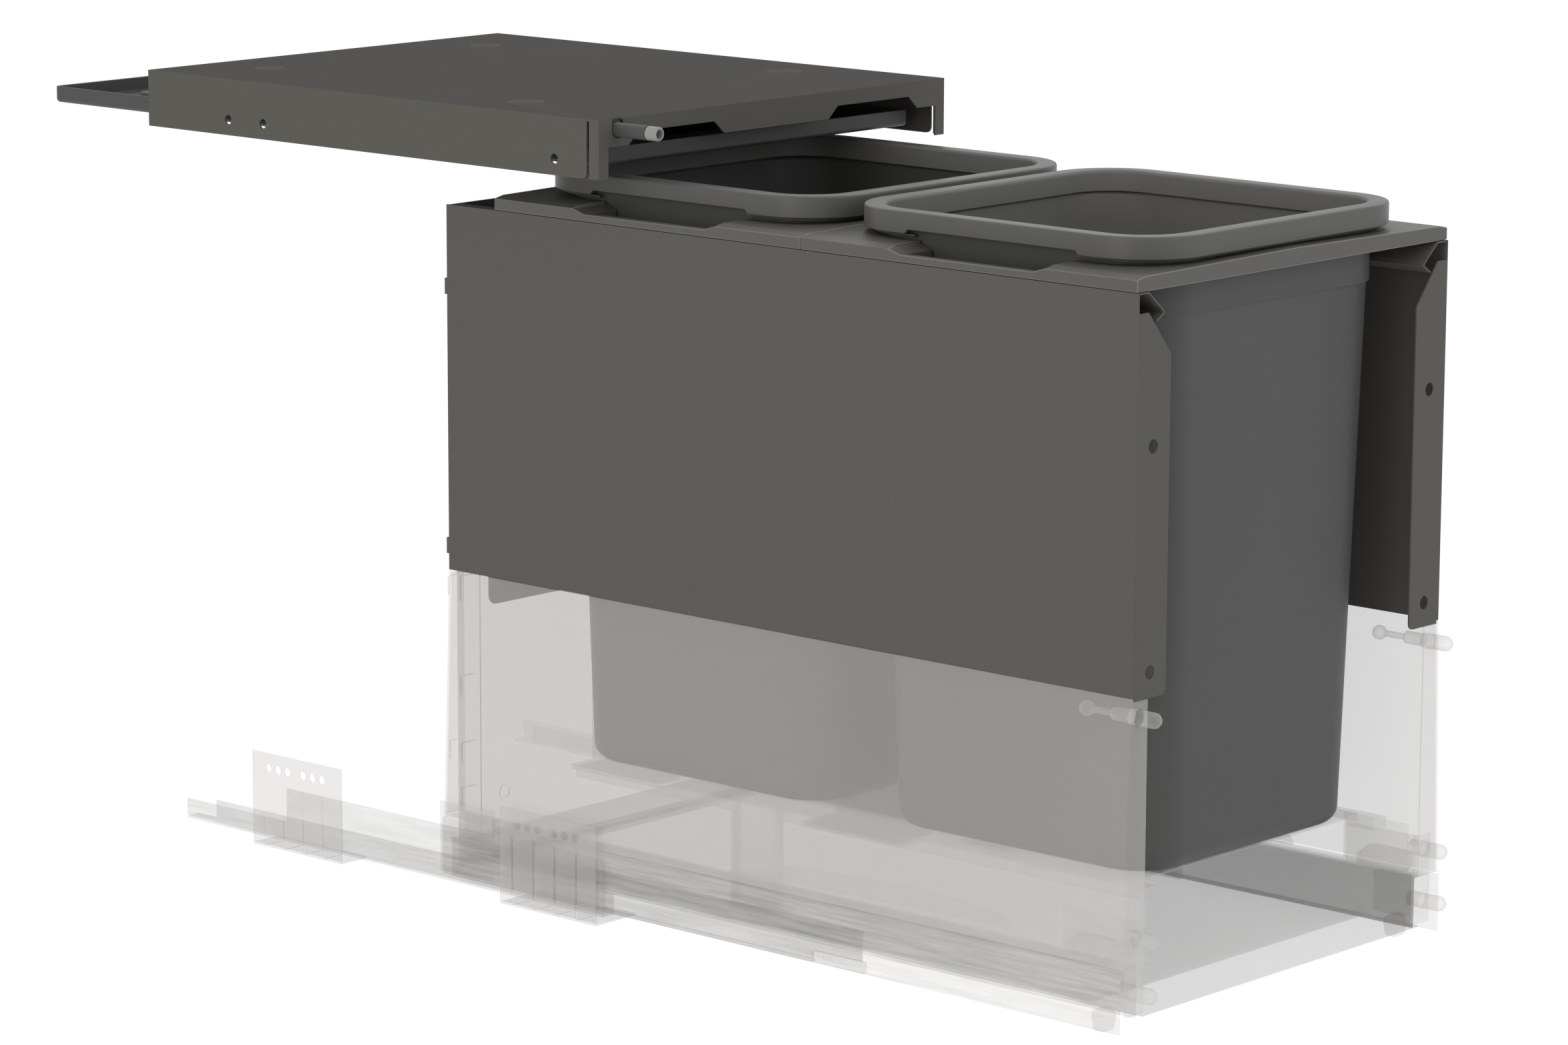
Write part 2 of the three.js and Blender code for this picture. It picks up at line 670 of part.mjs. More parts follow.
// ---- Cover tray under the lid -------------------------------------------------------------
function coverTray() {
  const halfLength = (trayRear - trayFront) / 2;
  const centreY = (trayRear + trayFront) / 2;
  const foot = trayFoot;
  const outer = loft([
    [trayHalfWidth - foot, halfLength - foot, trayCorner - foot, trayZ],
    [trayHalfWidth - foot / 3, halfLength - foot / 3, trayCorner - foot / 3, trayZ + foot / 3],
    [trayHalfWidth, halfLength, trayCorner, trayZ + foot],
    [trayHalfWidth, halfLength, trayCorner, trayTop],
  ], 3).translate(0, centreY, 0);
  const innerX = trayHalfWidth - trayWall;
  const innerY = halfLength - trayWall;
  const well = loft([
    [innerX - trayWellTaper, innerY - trayWellTaper, trayCorner - trayWall, trayZ + trayFloor],
    [innerX, innerY, trayCorner - trayWall, trayZ + foot],
    [innerX, innerY, trayCorner - trayWall, trayTop + overcut],
  ], 3).translate(0, centreY, 0);
  const stepTop = trayZ + trayFloor + trayStepHeight;
  const stepX = innerX - trayStepInset;
  const stepY = innerY - trayStepInset;
  const step = loft([
    [stepX, stepY, trayCorner, trayZ + trayFloor / 2],
    [stepX - trayStepTaper, stepY - trayStepTaper, trayCorner, stepTop],
  ], 3).translate(0, centreY, 0);
  const recess = loft([
    [stepX - trayWall, stepY - trayWall, trayCorner, trayZ - overcut],
    [stepX - trayStepTaper - trayWall, stepY - trayStepTaper - trayWall, trayCorner, stepTop - trayWall],
  ], 3).translate(0, centreY, 0);
  let solid = toSolid(outer).subtract(toSolid(well)).add(toSolid(step)).subtract(toSolid(recess));
  const sleeveTop = trayZ + trayFloor + sleeveRise;
  for (const [x, y] of dishPlaces()) {
    const bore = postRadius + holePlay;
    solid = solid.add(toSolid(cylinderZ(x, y, bore + sleeveWall, [trayZ, sleeveTop], 14)));
    solid = solid.subtract(toSolid(cylinderZ(x, y, bore, [trayZ + trayFloor, sleeveTop + overcut], 14)));
  }
  return toGeometry(solid);
}
add(cabinetSide, 'cover_tray', coverTray(), finish.binPlastic);

// ---- Runner brackets, cabinet runners and middle runners ----------------------------------
function runnerBracket(flange) {
  // Local y runs from the bracket's front edge to its rear edge.
  const plateX = [lidHalf - bracketSheet, lidHalf];
  const cuts = [];
  for (let group = 0; group < 2; group += 1) {
    for (let hole = 0; hole < 3; hole += 1) {
      const y = bracketFirstHole + group * bracketGroupPitch + hole * bracketHolePitch;
      cuts.push(cylinderX(y, bracketHoleZ, bracketHoleRadius, [plateX[0] - overcut, plateX[1] + overcut], 10));
    }
  }
  for (let slot = 0; slot < 4; slot += 1) {
    const y = bracketWidth - slotFirst - slot * slotPitch;
    cuts.push(block([lidHalf - slotReach, lidHalf + overcut], [y - slotWidth, y], [-overcut, slotTopZ]));
  }
  return joined([
    block(plateX, [0, bracketWidth], [0, bracketHeight]),
    block([lidHalf - flange, lidHalf], [0, bracketWidth], [0, bracketSheet]),
  ], cuts);
}

function cabinetRunner() {
  const outer = runnerWebX + runnerSheet;
  const shelfTop = runnerShelfZ + runnerSheet;
  return joined([
    block([runnerWebX, outer], [0, runnerLength], [runnerShelfZ, runnerLowWall]),
    block([runnerWebX, outer], [0, runnerWebLength], [runnerShelfZ, runnerWebTop]),
    block([runnerLipX, outer], [0, runnerLength], [runnerShelfZ, shelfTop]),
    block(
      [runnerLipX, runnerLipX + runnerSheet],
      [0, runnerLength - runnerLipInset], [runnerShelfZ, runnerLowWall],
    ),
  ]);
}

function middleRunner() {
  const rear = middleFront + middleLength;
  const web = middleX + (middleWidth - middleSheet) / 2;
  const clipTop = middleBottomZ + clipHeight + seat;
  return joined([
    block([web, web + middleSheet], [middleFront, rear], [middleBottomZ, middleTopZ]),
    block([middleX, middleX + middleWidth], [middleFront, rear], [middleTopZ - middleSheet, middleTopZ]),
    block([middleX, middleX + middleWidth], [middleFront, rear], [middleBottomZ, middleBottomZ + middleSheet]),
  ], [
    block(
      [middleX - overcut, middleX + middleWidth + overcut],
      [middleFront - overcut, middleFront + clipLength + seat], [0, clipTop],
    ),
  ]);
}

function runnerClip() {
  const x = [middleX - clipProud, middleX + middleWidth];
  const y = [middleFront - clipNose, middleFront + clipLength];
  const top = middleBottomZ + clipHeight;
  const groove = [y[0] + clipGrooveEnds[0], y[1] - clipGrooveEnds[1]];
  const grooveZ = [middleBottomZ + clipGrooveEdge, top - clipGrooveEdge];
  return joined(
    [block(x, y, [middleBottomZ, top])],
    [block([x[0] - overcut, x[0] + clipProud + clipGrooveDepth], groove, grooveZ)],
  );
}

for (const [place, y] of [['front', bracketFrontY[0]], ['rear', bracketFrontY[1]]]) {
  const bracketGeometry = runnerBracket(bracketFlange[place]);
  add(cabinetSide, `runner_bracket_${place}_right`, bracketGeometry, finish.ghostSteel, [0, y, 0]);
  add(cabinetSide, `runner_bracket_${place}_left`, mirrored(bracketGeometry), finish.ghostSteel, [0, y, 0]);
}
addPair(cabinetSide, 'cabinet_runner', cabinetRunner(), finish.ghostSteel);
addPair(carriage, 'middle_runner', middleRunner(), finish.ghostSteel);
addPair(carriage, 'runner_clip', runnerClip(), finish.ghostPlastic);

// ---- Upper panels and back plate ----------------------------------------------------------
function sidePanel() {
  const outer = carriageHalf;
  const bottom = upperPanelZ;
  const lip = strip([
    [outer - panelSheet, panelTop - panelSheet], [outer - lipShelf, panelTop - panelSheet],
    [lipInnerX + lipKnee[0], panelTop - panelSheet - lipDrop * lipKnee[1]],
    [lipInnerX, panelTop - lipDrop * lipElbow],
    [lipHookX, panelTop - lipDrop],
  ], -panelSheet);
  const flangeTop = panelTop - panelFlangeDrop;
  const round = panelFlangeCorner;
  const front = new THREE.Shape();
  front.moveTo(outer, bottom);
  front.lineTo(outer, flangeTop);
  front.lineTo(outer - panelFlangeTopWidth, flangeTop);
  front.lineTo(panelFlangeX, flangeTop - panelFlangeSlope);
  front.lineTo(panelFlangeX, bottom + round);
  front.absarc(panelFlangeX + round, bottom - panelFlangeFoot + round, round, Math.PI, Math.PI * 1.5);
  front.lineTo(outer - panelFlangeInset, bottom - panelFlangeFoot);
  front.lineTo(outer - panelFlangeInset, bottom);
  const frontY = [panelFront, panelFront + panelSheet];
  const rearY = [panelRear - panelSheet, panelRear];
  const parts = [
    block([outer - panelSheet, outer], [panelFront, panelRear], [bottom, panelTop]),
    prismY(lip, [panelFront + lipSetback, backPlateFront - seat]),
    prismY(front, frontY),
    block([outer - rearFlangeWidth, outer], rearY, [bottom, panelTop - panelFlangeDrop]),
  ];
  for (const drop of panelLugDrops) {
    const top = panelTop - drop;
    const lugX = [outer - panelLugWidth, outer];
    parts.push(block(lugX, [panelRear - panelSheet / 2, panelRear + lugDepth], [top - lugHeight, top]));
  }
  const cuts = [0, 1].map((index) => cylinderY(
    panelHoleX, panelTop - panelHoleDrop - index * panelHolePitch, panelHoleRadius,
    [panelFront - overcut, panelFront + panelSheet + overcut], 18,
  ));
  return joined(parts, cuts);
}

function backPlate() {
  const y = [backPlateFront, backPlateFront + panelSheet];
  const half = carriageHalf - panelSheet - seat;
  const round = backTongueCorner;
  const low = upperPanelZ - backTongueDrop;
  const foot = upperPanelZ + seat;
  const shape = new THREE.Shape();
  shape.moveTo(half, foot);
  shape.lineTo(half, panelTop);
  shape.lineTo(-half, panelTop);
  shape.lineTo(-half, foot);
  shape.lineTo(-backTongueHalf, foot);
  shape.absarc(-backTongueHalf + round, low + round, round, Math.PI, Math.PI * 1.5);
  shape.absarc(backTongueHalf - round, low + round, round, Math.PI * 1.5, Math.PI * 2);
  shape.lineTo(backTongueHalf, foot);
  return prismY(shape, y, 3);
}

addPair(carriage, 'side_panel', sidePanel(), finish.coatedSteel);
add(carriage, 'back_plate', backPlate(), finish.coatedSteel);

// ---- Tray frames, bins and rings ----------------------------------------------------------
// A frame's section across the carriage: flat below, its top crowned towards the middle.
function crownedSection(bottom) {
  const half = carriageHalf;
  const left = frameCrown.map(([share, rise]) => [-share * half, frameTop + rise]);
  const right = frameCrown.slice(0, -1).reverse().map(([share, rise]) => [share * half, frameTop + rise]);
  return outline([[half, bottom], [-half, bottom], [-half, frameTop], ...left, ...right, [half, frameTop]]);
}

function trayFrame(binY, rear, front) {
  const z = [frameZ, frameTop];
  const corner = binTopCorner + bandStep + frameOpeningPlay;
  const half = carriageHalf;
  const through = [frameZ - overcut, frameCrownTop + overcut];
  const opening = prismZ(roundedRectangle(openingHalf[0], openingHalf[1], corner, binY), through, 3);
  // Hollow underside between the outer wall and a wall round the opening.
  const under = toSolid(block(
    [-half + frameWall, half - frameWall], [front + frameWall, rear - frameWall],
    [z[0] - overcut, frameTop - framePlate],
  )).subtract(toSolid(prismZ(
    roundedRectangle(openingHalf[0] + frameWall, openingHalf[1] + frameWall, corner + frameWall, binY),
    [z[0] - 2 * overcut, z[1]], 3,
  ))).subtract(toSolid(block(
    [-half, half], [binY - gripHalf - frameWall, binY + gripHalf + frameWall], [z[0] - 2 * overcut, z[1]],
  )));
  let solid = toSolid(prismY(crownedSection(z[0]), [front, rear])).subtract(under).subtract(toSolid(opening));
  for (const side of [-1, 1]) {
    const pocketX = [side * (openingHalf[0] - gripInset), side * gripOuterX].sort((a, b) => a - b);
    solid = solid.subtract(toSolid(block(
      pocketX, [binY - gripHalf + gripRamp, binY + gripHalf - gripRamp], through,
    )));
    const ramp = outline([
      [binY - gripHalf, frameCrownTop + overcut], [binY - gripHalf, frameTop],
      [binY - gripHalf + gripRamp, frameTop - gripDrop], [binY + gripHalf - gripRamp, frameTop - gripDrop],
      [binY + gripHalf, frameTop], [binY + gripHalf, frameCrownTop + overcut],
    ]);
    const rampX = [side * (openingHalf[0] - gripInset), side * (half + overcut)].sort((a, b) => a - b);
    solid = solid.subtract(toSolid(prismX(ramp, rampX)));
  }
  return toGeometry(solid);
}

function bin() {
  const [topX, topY] = binTopHalf;
  const [floorX, floorY] = binFloorHalf;
  const floorRound = binFloorRound;
  const bandTop = rimFlangeZ;
  const flangeTop = rimFlangeZ + rimFlangeHeight;
  const rimTop = flangeTop + rimHeight;
  const bandX = bandHalf[0];
  const bandY = bandHalf[1];
  const bandCorner = binTopCorner + bandStep;
  const rimX = ringHalf[0] - rimInset;
  const rimY = ringHalf[1] - rimInset;
  const rimCorner = ringCorner - rimInset;
  const flangeCorner = ringCorner - flangeCornerInset;
  const innerRise = floorRound + binInnerRound[1];
  const innerLow = (innerRise - floorRound) / (binBandZ - binFloorZ - floorRound);
  const innerX = floorX + (topX - floorX) * innerLow - binWall;
  const innerY = floorY + (topY - floorY) * innerLow - binWall;
  const shell = loft([
    [floorX - floorRound, floorY - floorRound, binFloorCorner - floorRound, binFloorZ],
    [floorX - binFloorChamfer, floorY - binFloorChamfer, binFloorCorner - binFloorChamfer,
      binFloorZ + binFloorChamfer],
    [floorX, floorY, binFloorCorner, binFloorZ + floorRound],
    [topX, topY, binTopCorner, binBandZ],
    [bandX, bandY, bandCorner, binBandZ + bandShoulder],
    [bandX, bandY, bandCorner, bandTop],
    [rimFlangeHalf[0], rimFlangeHalf[1], flangeCorner, bandTop + facePlay],
    [rimFlangeHalf[0], rimFlangeHalf[1], flangeCorner, flangeTop],
    [rimX, rimY, rimCorner, flangeTop + facePlay],
    [rimX, rimY, rimCorner, rimTop],
    [rimX - rimWall, rimY - rimWall, rimCorner - rimWall, rimTop + facePlay],
    [rimX - rimWall, rimY - rimWall, rimCorner - rimWall, flangeTop - rimPlay],
    [bandX - binWall, bandY - binWall, bandCorner - binWall, bandTop],
    [bandX - binWall, bandY - binWall, bandCorner - binWall, binBandZ],
    [topX - binWall, topY - binWall, binTopCorner - binWall, binBandZ - bandInnerDrop],
    [innerX, innerY, binFloorCorner - binWall, binFloorZ + innerRise],
    [innerX - binInnerRound[0], innerY - binInnerRound[0], binFloorCorner - binWall - binInnerRound[0],
      binFloorZ + binWall],
  ]);
  const notch = (side) => block(
    [side * (rimX + rimPlay), side * (rimFlangeHalf[0] + overcut)].sort((a, b) => a - b),
    [-rimNotchHalf, rimNotchHalf], [bandTop - overcut, flangeTop + overcut],
  );
  return joined([shell], [notch(1), notch(-1)]);
}

function bagRing() {
  const outer = (inset, z) => [ringHalf[0] - inset, ringHalf[1] - inset, ringCorner - inset, z];
  const innerInset = ringWidth;
  const top = ringTop;
  const channelTop = top - ringWall;
  const bore = loft([outer(innerInset, ringZ - overcut), outer(innerInset, top + overcut)]);
  const innerWall = innerInset - ringInnerWall;
  const core = loft([outer(innerWall, ringZ - 2 * overcut), outer(innerWall, channelTop + overcut)]);
  const trough = loft([outer(ringWall, ringZ - overcut), outer(ringWall, channelTop)]);
  const channel = toSolid(trough).subtract(toSolid(core));
  const bulk = loft([outer(0, ringZ), ...ringRound.map(([inset, depth]) => outer(inset, top - depth))]);
  let solid = toSolid(bulk).subtract(toSolid(bore)).subtract(channel);
  for (const side of [-1, 1]) {
    const x = [side * (ringHalf[0] - ringWall - overcut), side * (ringHalf[0] + overcut)];
    x.sort((a, b) => a - b);
    const step = outline([
      [-ringStepHalf - ringStepRise, ringZ - overcut], [-ringStepHalf - ringStepRise, ringZ],
      [-ringStepHalf, ringZ + ringStepRise], [ringStepHalf, ringZ + ringStepRise],
      [ringStepHalf + ringStepRise, ringZ], [ringStepHalf + ringStepRise, ringZ - overcut],
    ]);
    solid = solid.subtract(toSolid(prismX(step, x)));
  }
  return toGeometry(solid);
}

const rearSpan = [frameRear, frameSeam + seat / 2];
const frontSpan = [frameSeam - seat / 2, frameFront];
add(carriage, 'frame_rear', trayFrame(rearBinY, ...rearSpan), finish.framePlastic);
add(carriage, 'frame_front', trayFrame(frontBinY, ...frontSpan), finish.framePlastic);
for (const [place, y] of [['front', frontBinY], ['rear', rearBinY]]) {
  add(carriage, `bin_${place}`, bin(), finish.binPlastic, [0, y, 0]);
  add(carriage, `ring_${place}`, bagRing(), finish.binPlastic, [0, y, 0]);
}

// ---- Lower panels, rear wall, drawer profiles and floor -----------------------------------
function panelOuterX(z) {
  const share = (lowerPanelTop - z) / lowerPanelHeight;
  return carriageHalf + (lowerPanelFootX - carriageHalf) * share;
}

function lowerPanel() {
  const z0 = lowerPanelZ;
  const z1 = lowerPanelTop;
  const flangeTop = z1 - panelFlangeFoot;
  const skin = outline([
    [panelOuterX(z0), z0], [panelOuterX(z1), z1],
    [panelOuterX(z1) - panelSheet, z1], [panelOuterX(z0) - panelSheet, z0],
  ]);
  // The flanges end halfway into the slanted skin and stop just above its foot.
  const reach = panelSheet / 2;
  const foot = z0 + lowerFlangeFoot;
  const flange = (inner) => outline([
    [panelOuterX(foot) - reach, foot], [panelOuterX(flangeTop) - reach, flangeTop], [inner, flangeTop],
    [inner, foot],
  ]);
  const parts = [
    prismY(skin, [panelFront, panelRear]),
    prismY(flange(lowerFlangeX), [panelFront, panelFront + panelSheet]),
    prismY(flange(lowerRearFlangeX), [panelRear - panelSheet, panelRear]),
  ];
  for (const drop of lowerLugDrops) {
    const top = z1 - drop;
    const lugY = [panelRear - panelSheet / 2, panelRear + lugDepth];
    parts.push(block(lowerLugX, lugY, [top - lowerLugHeight, top]));
  }
  const cuts = [upperDowelZ, midDowelZ].map((z) => cylinderY(
    dowelX, z, dowelRadius + holePlay, [panelFront - overcut, panelFront + panelSheet + overcut], 14,
  ));
  return joined(parts, cuts);
}

function rearWall() {
  const y = [panelRear + seat, panelRear + seat + panelSheet];
  const top = lowerPanelTop - wallTopDrop;
  const parts = [block([-wallHalf, wallHalf], y, [railBottomZ, top])];
  const root = y[1] - panelSheet / 3;
  const cuts = [];
  for (const side of [-1, 1]) {
    const across = (low, high) => [side * low, side * high].sort((a, b) => a - b);
    wallLugDrops.forEach((drop, index) => {
      const high = lowerPanelTop - drop;
      parts.push(block(across(...wallLugX), [root, y[1] + lugDepth], [high - wallLugHeights[index], high]));
    });
    const ribX = across(wallRibX, wallRibX + wallRibWidth);
    parts.push(block(ribX, [root, y[1] + wallRibWidth], [railBottomZ, top]));
    const rise = y[1] + wallBossRise;
    parts.push(cylinderY(side * wallBossX, wallBossZ, wallBossRadius[0], [root, rise], 16));
    cuts.push(cylinderY(side * wallBossX, wallBossZ, wallBossRadius[1], [y[1], rise + overcut], 16));
  }
  return joined(parts, cuts);
}

function drawerProfile() {
  const section = outline([
    [drawerOuterX, drawerSkirtZ], [drawerOuterX, drawerTopZ - drawerCorner],
    [drawerOuterX - drawerCorner, drawerTopZ], [drawerInnerX + drawerEdge, drawerTopZ],
    [drawerInnerX, drawerTopZ - drawerEdge], [drawerInnerX, drawerInnerSkirtZ],
    [drawerInnerX + drawerEdge, drawerInnerSkirtZ], [drawerInnerX + drawerEdge, drawerTopZ - drawerSheet],
    [drawerOuterX - drawerSheet, drawerTopZ - drawerSheet], [drawerOuterX - drawerSheet, drawerSkirtZ],
  ]);
  const skirtX = [drawerOuterX - drawerSheet, drawerOuterX];
  return joined([
    prismY(section, [drawerFront, drawerRear]),
    block(skirtX, [drawerSkirtFront, drawerFront + overcut], [drawerSkirtZ, drawerTopZ - drawerCorner]),
  ]);
}

function drawerCheek() {
  const z = lowerPanelZ;
  const round = cheekRound;
  const shape = new THREE.Shape();
  shape.moveTo(cheekFront, z);
  shape.absarc(cheekFront + round, cheekFrontZ - round, round, Math.PI, Math.PI / 2, true);
  shape.lineTo((cheekFront + round + cheekCrown) / 2, (cheekFrontZ + cheekCrownZ) / 2 + cheekBow);
  shape.lineTo(cheekCrown, cheekCrownZ);
  shape.lineTo((cheekCrown + cheekShoulder) / 2, (cheekCrownZ + cheekShoulderZ) / 2 + cheekBow);
  shape.lineTo(cheekShoulder, cheekShoulderZ);
  shape.lineTo(cheekRear, z);
  return prismX(shape, [drawerInnerX, drawerInnerX + panelSheet]);
}

function drawerBottom() {
  const half = drawerInnerX - seat;
  const span = [panelFront, panelRear - panelSheet - seat];
  return block([-half, half], span, [floorTopZ - floorSheet, floorTopZ]);
}

function drawerLiner() {
  const half = drawerInnerX - linerInset;
  const z = floorTopZ + seat;
  return block([-half, half], [linerFront, linerRear], [z, z + linerSheet]);
}

function rearRail() {
  const half = drawerInnerX - railInset;
  return joined([
    block([-half, half], [panelRear - panelSheet, panelRear], [railBottomZ, railTopZ]),
    block([-half, half], [panelRear - railDepth, panelRear], [railBottomZ, railBottomZ + panelSheet]),
  ]);
}

function binBase() {
  const z = [baseTopZ - baseSheet, baseTopZ];
  const half = baseHalfWidth;
  const edgeZ = [baseTopZ - baseEdge, baseTopZ];
  const footZ = floorTopZ + linerSheet + 2 * seat;
  const parts = [block([-half, half], [baseFront, baseRear], z)];
  for (const side of [-1, 1]) {
    const across = (low, high) => [side * low, side * high].sort((a, b) => a - b);
    parts.push(block(across(half - baseSheet, half), [baseFront, baseRear], edgeZ));
    parts.push(block(across(half - wingRoot, wingRearX), wingRearSpan, z));
    parts.push(block(across(half - wingRoot, wingMidX), wingMidSpan, z));
    parts.push(block(across(half - baseTabWidth, half), [baseTabFront, baseFront + wingRoot], edgeZ));
    parts.push(block(across(half - baseSheet, half), baseLegSpan, [footZ, baseTopZ]));
    for (const y of baseLegSpan) {
      const wall = y === baseLegSpan[0] ? [y, y + baseSheet] : [y - baseSheet, y];
      parts.push(block(across(half - baseLegDepth, half), wall, [footZ, baseTopZ]));
    }
    parts.push(block(across(half - baseFootWidth, half), baseLegSpan, [footZ, footZ + baseSheet]));
  }
  return joined(parts);
}

function rearConnector() {
  const x = drawerOuterX + connectorPlay;
  return block([x, x + connectorSheet], connectorSpan, connectorZ);
}

addPair(carriage, 'lower_panel', lowerPanel(), finish.ghostSteel);
add(carriage, 'rear_wall', rearWall(), finish.ghostSteel);
add(carriage, 'rear_rail', rearRail(), finish.ghostSteel);
addPair(carriage, 'drawer_profile', drawerProfile(), finish.ghostSteel);
addPair(carriage, 'drawer_cheek', drawerCheek(), finish.ghostPlastic);
add(carriage, 'drawer_bottom', drawerBottom(), finish.ghostSteel);
add(carriage, 'drawer_liner', drawerLiner(), finish.ghostPlastic);
add(carriage, 'bin_base', binBase(), finish.ghostPlastic);
addPair(carriage, 'rear_connector', rearConnector(), finish.ghostPlastic);

// ---- Front fixing: brackets, dowels, screws, caps and levers ------------------------------
const bracketRearY = panelFront + panelSheet + seat + frontBracketSheet;

function frontBracket() {
  const plateY = [bracketRearY - frontBracketSheet, bracketRearY];
  const armX = [drawerInnerX + armInset, drawerInnerX + armInset + armSheet];
  const low = floorTopZ + bracketFoot;
  return joined([
    block(bracketPlateX, plateY, [low, frontBracketTopZ]),
    block(armX, [plateY[0], armRear], [lowerPanelZ, frontBracketTopZ]),
  ], [midDowelZ, lowDowelZ].map((z) => cylinderY(
    dowelX, z, dowelRadius + holePlay, [plateY[0] - overcut, dowelTip + lowDowelLength + seat], 14,
  )));
}

function dowel(length) {
  const profile = [[0, 0]];
  const steps = 3;
  for (let step = 0; step <= steps; step += 1) {
    const angle = (step / steps) * (Math.PI / 2);
    profile.push([dowelRadius - dowelRound * (1 - Math.sin(angle)), dowelRound * (1 - Math.cos(angle))]);
  }
  profile.push([dowelRadius, length - dowelChamfer], [dowelRadius - dowelChamfer, length], [0, length]);
  return new THREE.LatheGeometry(profile.map(([r, y]) => new THREE.Vector2(r, y)), 14);
}

function ballScrew() {
  // Lathe about the screw's axis; local y = 0 is its front end, which meets the dowel.
  const front = dowelTip + dowelLength + seat;
  const bodyEnd = screwBodyRear - front;
  const centre = ballY - front;
  const points = [[0, 0], [screwBodyRadius, 0], [screwBodyRadius, bodyEnd]];
  points.push([screwNeckRadius, bodyEnd + dowelChamfer]);
  const start = Math.asin(screwNeckRadius / ballRadius);
  const steps = 6;
  for (let step = 0; step < steps; step += 1) {
    const angle = start + (Math.PI - start) * (step / steps);
    points.push([ballRadius * Math.sin(angle), centre - ballRadius * Math.cos(angle)]);
  }
  points.push([0, centre + ballRadius]);
  return new THREE.LatheGeometry(points.map(([r, y]) => new THREE.Vector2(r, y)), 12);
}

function coverCap() {
  const back = drawerInnerX + capSeat;
  const faceX = [back - capThickness, back - capThickness / 2];
  const rimX = [faceX[1], back];
  const middle = (capFront + capRear) / 2;
  const [markWidth, markHeight, markDrop, markDepth] = capMark;
  const markZ = capZ[1] - markDrop;
  return joined([
    block(faceX, [capFront, capRear], capZ),
    block(rimX, [capFront - capRim, capRear + capRim], [capZ[0] - capRim, capZ[1] + capRim]),
  ], [
    block(
      [faceX[0] - overcut, faceX[0] + markDepth],
      [middle - markWidth / 2, middle + markWidth / 2], [markZ - markHeight, markZ],
    ),
  ]);
}

function adjuster() {
  const x = drawerInnerX + armInset + armSheet + seat;
  const z = lowerPanelZ;
  const [footRun, footRise, headDrop, headRun] = adjusterFrontCorner;
  const [rearRun, rearRise] = adjusterRearCorner;
  const shape = outline([
    [adjusterFront + footRun, z], [adjusterFront, z + footRise], [adjusterFront, adjusterTopZ - headDrop],
    [adjusterFront + headRun, adjusterTopZ], [adjusterRear - rearRun, adjusterTopZ],
    [adjusterRear, z + rearRise], [adjusterRear, z],
  ]);
  return prismX(shape, [x, x + adjusterWidth]);
}

function leverHousing() {
  const z = [leverPivotZ + leverTopRadius + housingPlay, drawerTopZ - drawerSheet - seat];
  return block(housingX, [housingFront, housingRear], z);
}

function releaseLever() {
  // Local origin on the pivot axis.
  const shape = new THREE.Shape();
  shape.absarc(0, 0, leverTopRadius, 0, Math.PI);
  const tip = leverTipZ - leverPivotZ;
  const [cutRun, cutRise] = leverTipCut;
  shape.lineTo(-leverTipHalf - leverWaist, tip + cutRise);
  shape.lineTo(-leverTipHalf + cutRun, tip);
  shape.lineTo(leverTipHalf - cutRun, tip);
  shape.lineTo(leverTipHalf + leverWaist, tip + cutRise);
  return prismX(shape, leverX, 4);
}

addPair(carriage, 'front_bracket', frontBracket(), finish.ghostSteel);
addPair(carriage, 'cover_cap', coverCap(), finish.ghostPlastic);
addPair(carriage, 'adjuster', adjuster(), finish.ghostPlastic);
addPair(carriage, 'lever_housing', leverHousing(), finish.ghostPlastic);
const dowels = [['upper', upperDowelZ, dowelLength], ['middle', midDowelZ, lowDowelLength],
  ['lower', lowDowelZ, lowDowelLength]];
for (const [side, sign] of [['right', 1], ['left', -1]]) {
  for (const [place, z, length] of dowels) {
    add(carriage, `dowel_${place}_${side}`, dowel(length), finish.ghostPlastic, [sign * dowelX, dowelTip, z]);
  }
  add(carriage, `ball_screw_${side}`, ballScrew(), finish.ghostSteel,
    [sign * dowelX, dowelTip + dowelLength + seat, upperDowelZ]);
  const lever = sign > 0 ? releaseLever() : mirrored(releaseLever());
  add(carriage, `release_lever_${side}`, lever, finish.ghostPlastic, [0, leverY, leverPivotZ]);
}

export default model;
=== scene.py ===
# Pull out trash cabinet, dressed for rendering: powder-coated steel, moulded plastic and
# see-through parts.
import math

import bmesh
import bpy
from mathutils import Matrix, Vector


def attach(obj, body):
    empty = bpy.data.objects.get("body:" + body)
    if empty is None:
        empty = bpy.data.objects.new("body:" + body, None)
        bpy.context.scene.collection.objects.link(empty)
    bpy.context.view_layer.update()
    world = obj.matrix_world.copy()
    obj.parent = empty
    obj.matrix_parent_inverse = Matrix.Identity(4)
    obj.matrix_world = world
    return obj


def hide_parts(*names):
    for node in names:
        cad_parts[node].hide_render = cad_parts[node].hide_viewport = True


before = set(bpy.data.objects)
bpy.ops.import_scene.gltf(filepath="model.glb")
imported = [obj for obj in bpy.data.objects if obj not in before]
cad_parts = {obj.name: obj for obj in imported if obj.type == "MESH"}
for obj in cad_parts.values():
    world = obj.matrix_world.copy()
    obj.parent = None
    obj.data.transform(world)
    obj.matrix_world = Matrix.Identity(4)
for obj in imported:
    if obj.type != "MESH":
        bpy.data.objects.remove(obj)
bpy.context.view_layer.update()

# ---- Camera and light ---------------------------------------------------------------------
CAMERA_AZIMUTH = math.radians(-48.1476)
CAMERA_ELEVATION = math.radians(10.8771)
CAMERA_ROLL = math.radians(0.2121)
CAMERA_PLACE = Vector((-2.5566, -2.3437, 0.8905))
CAMERA_LENS = 128.62
SENSOR_WIDTH = 36.0
TRANSPARENT_FACES = 64        # how many see-through faces a light path follows

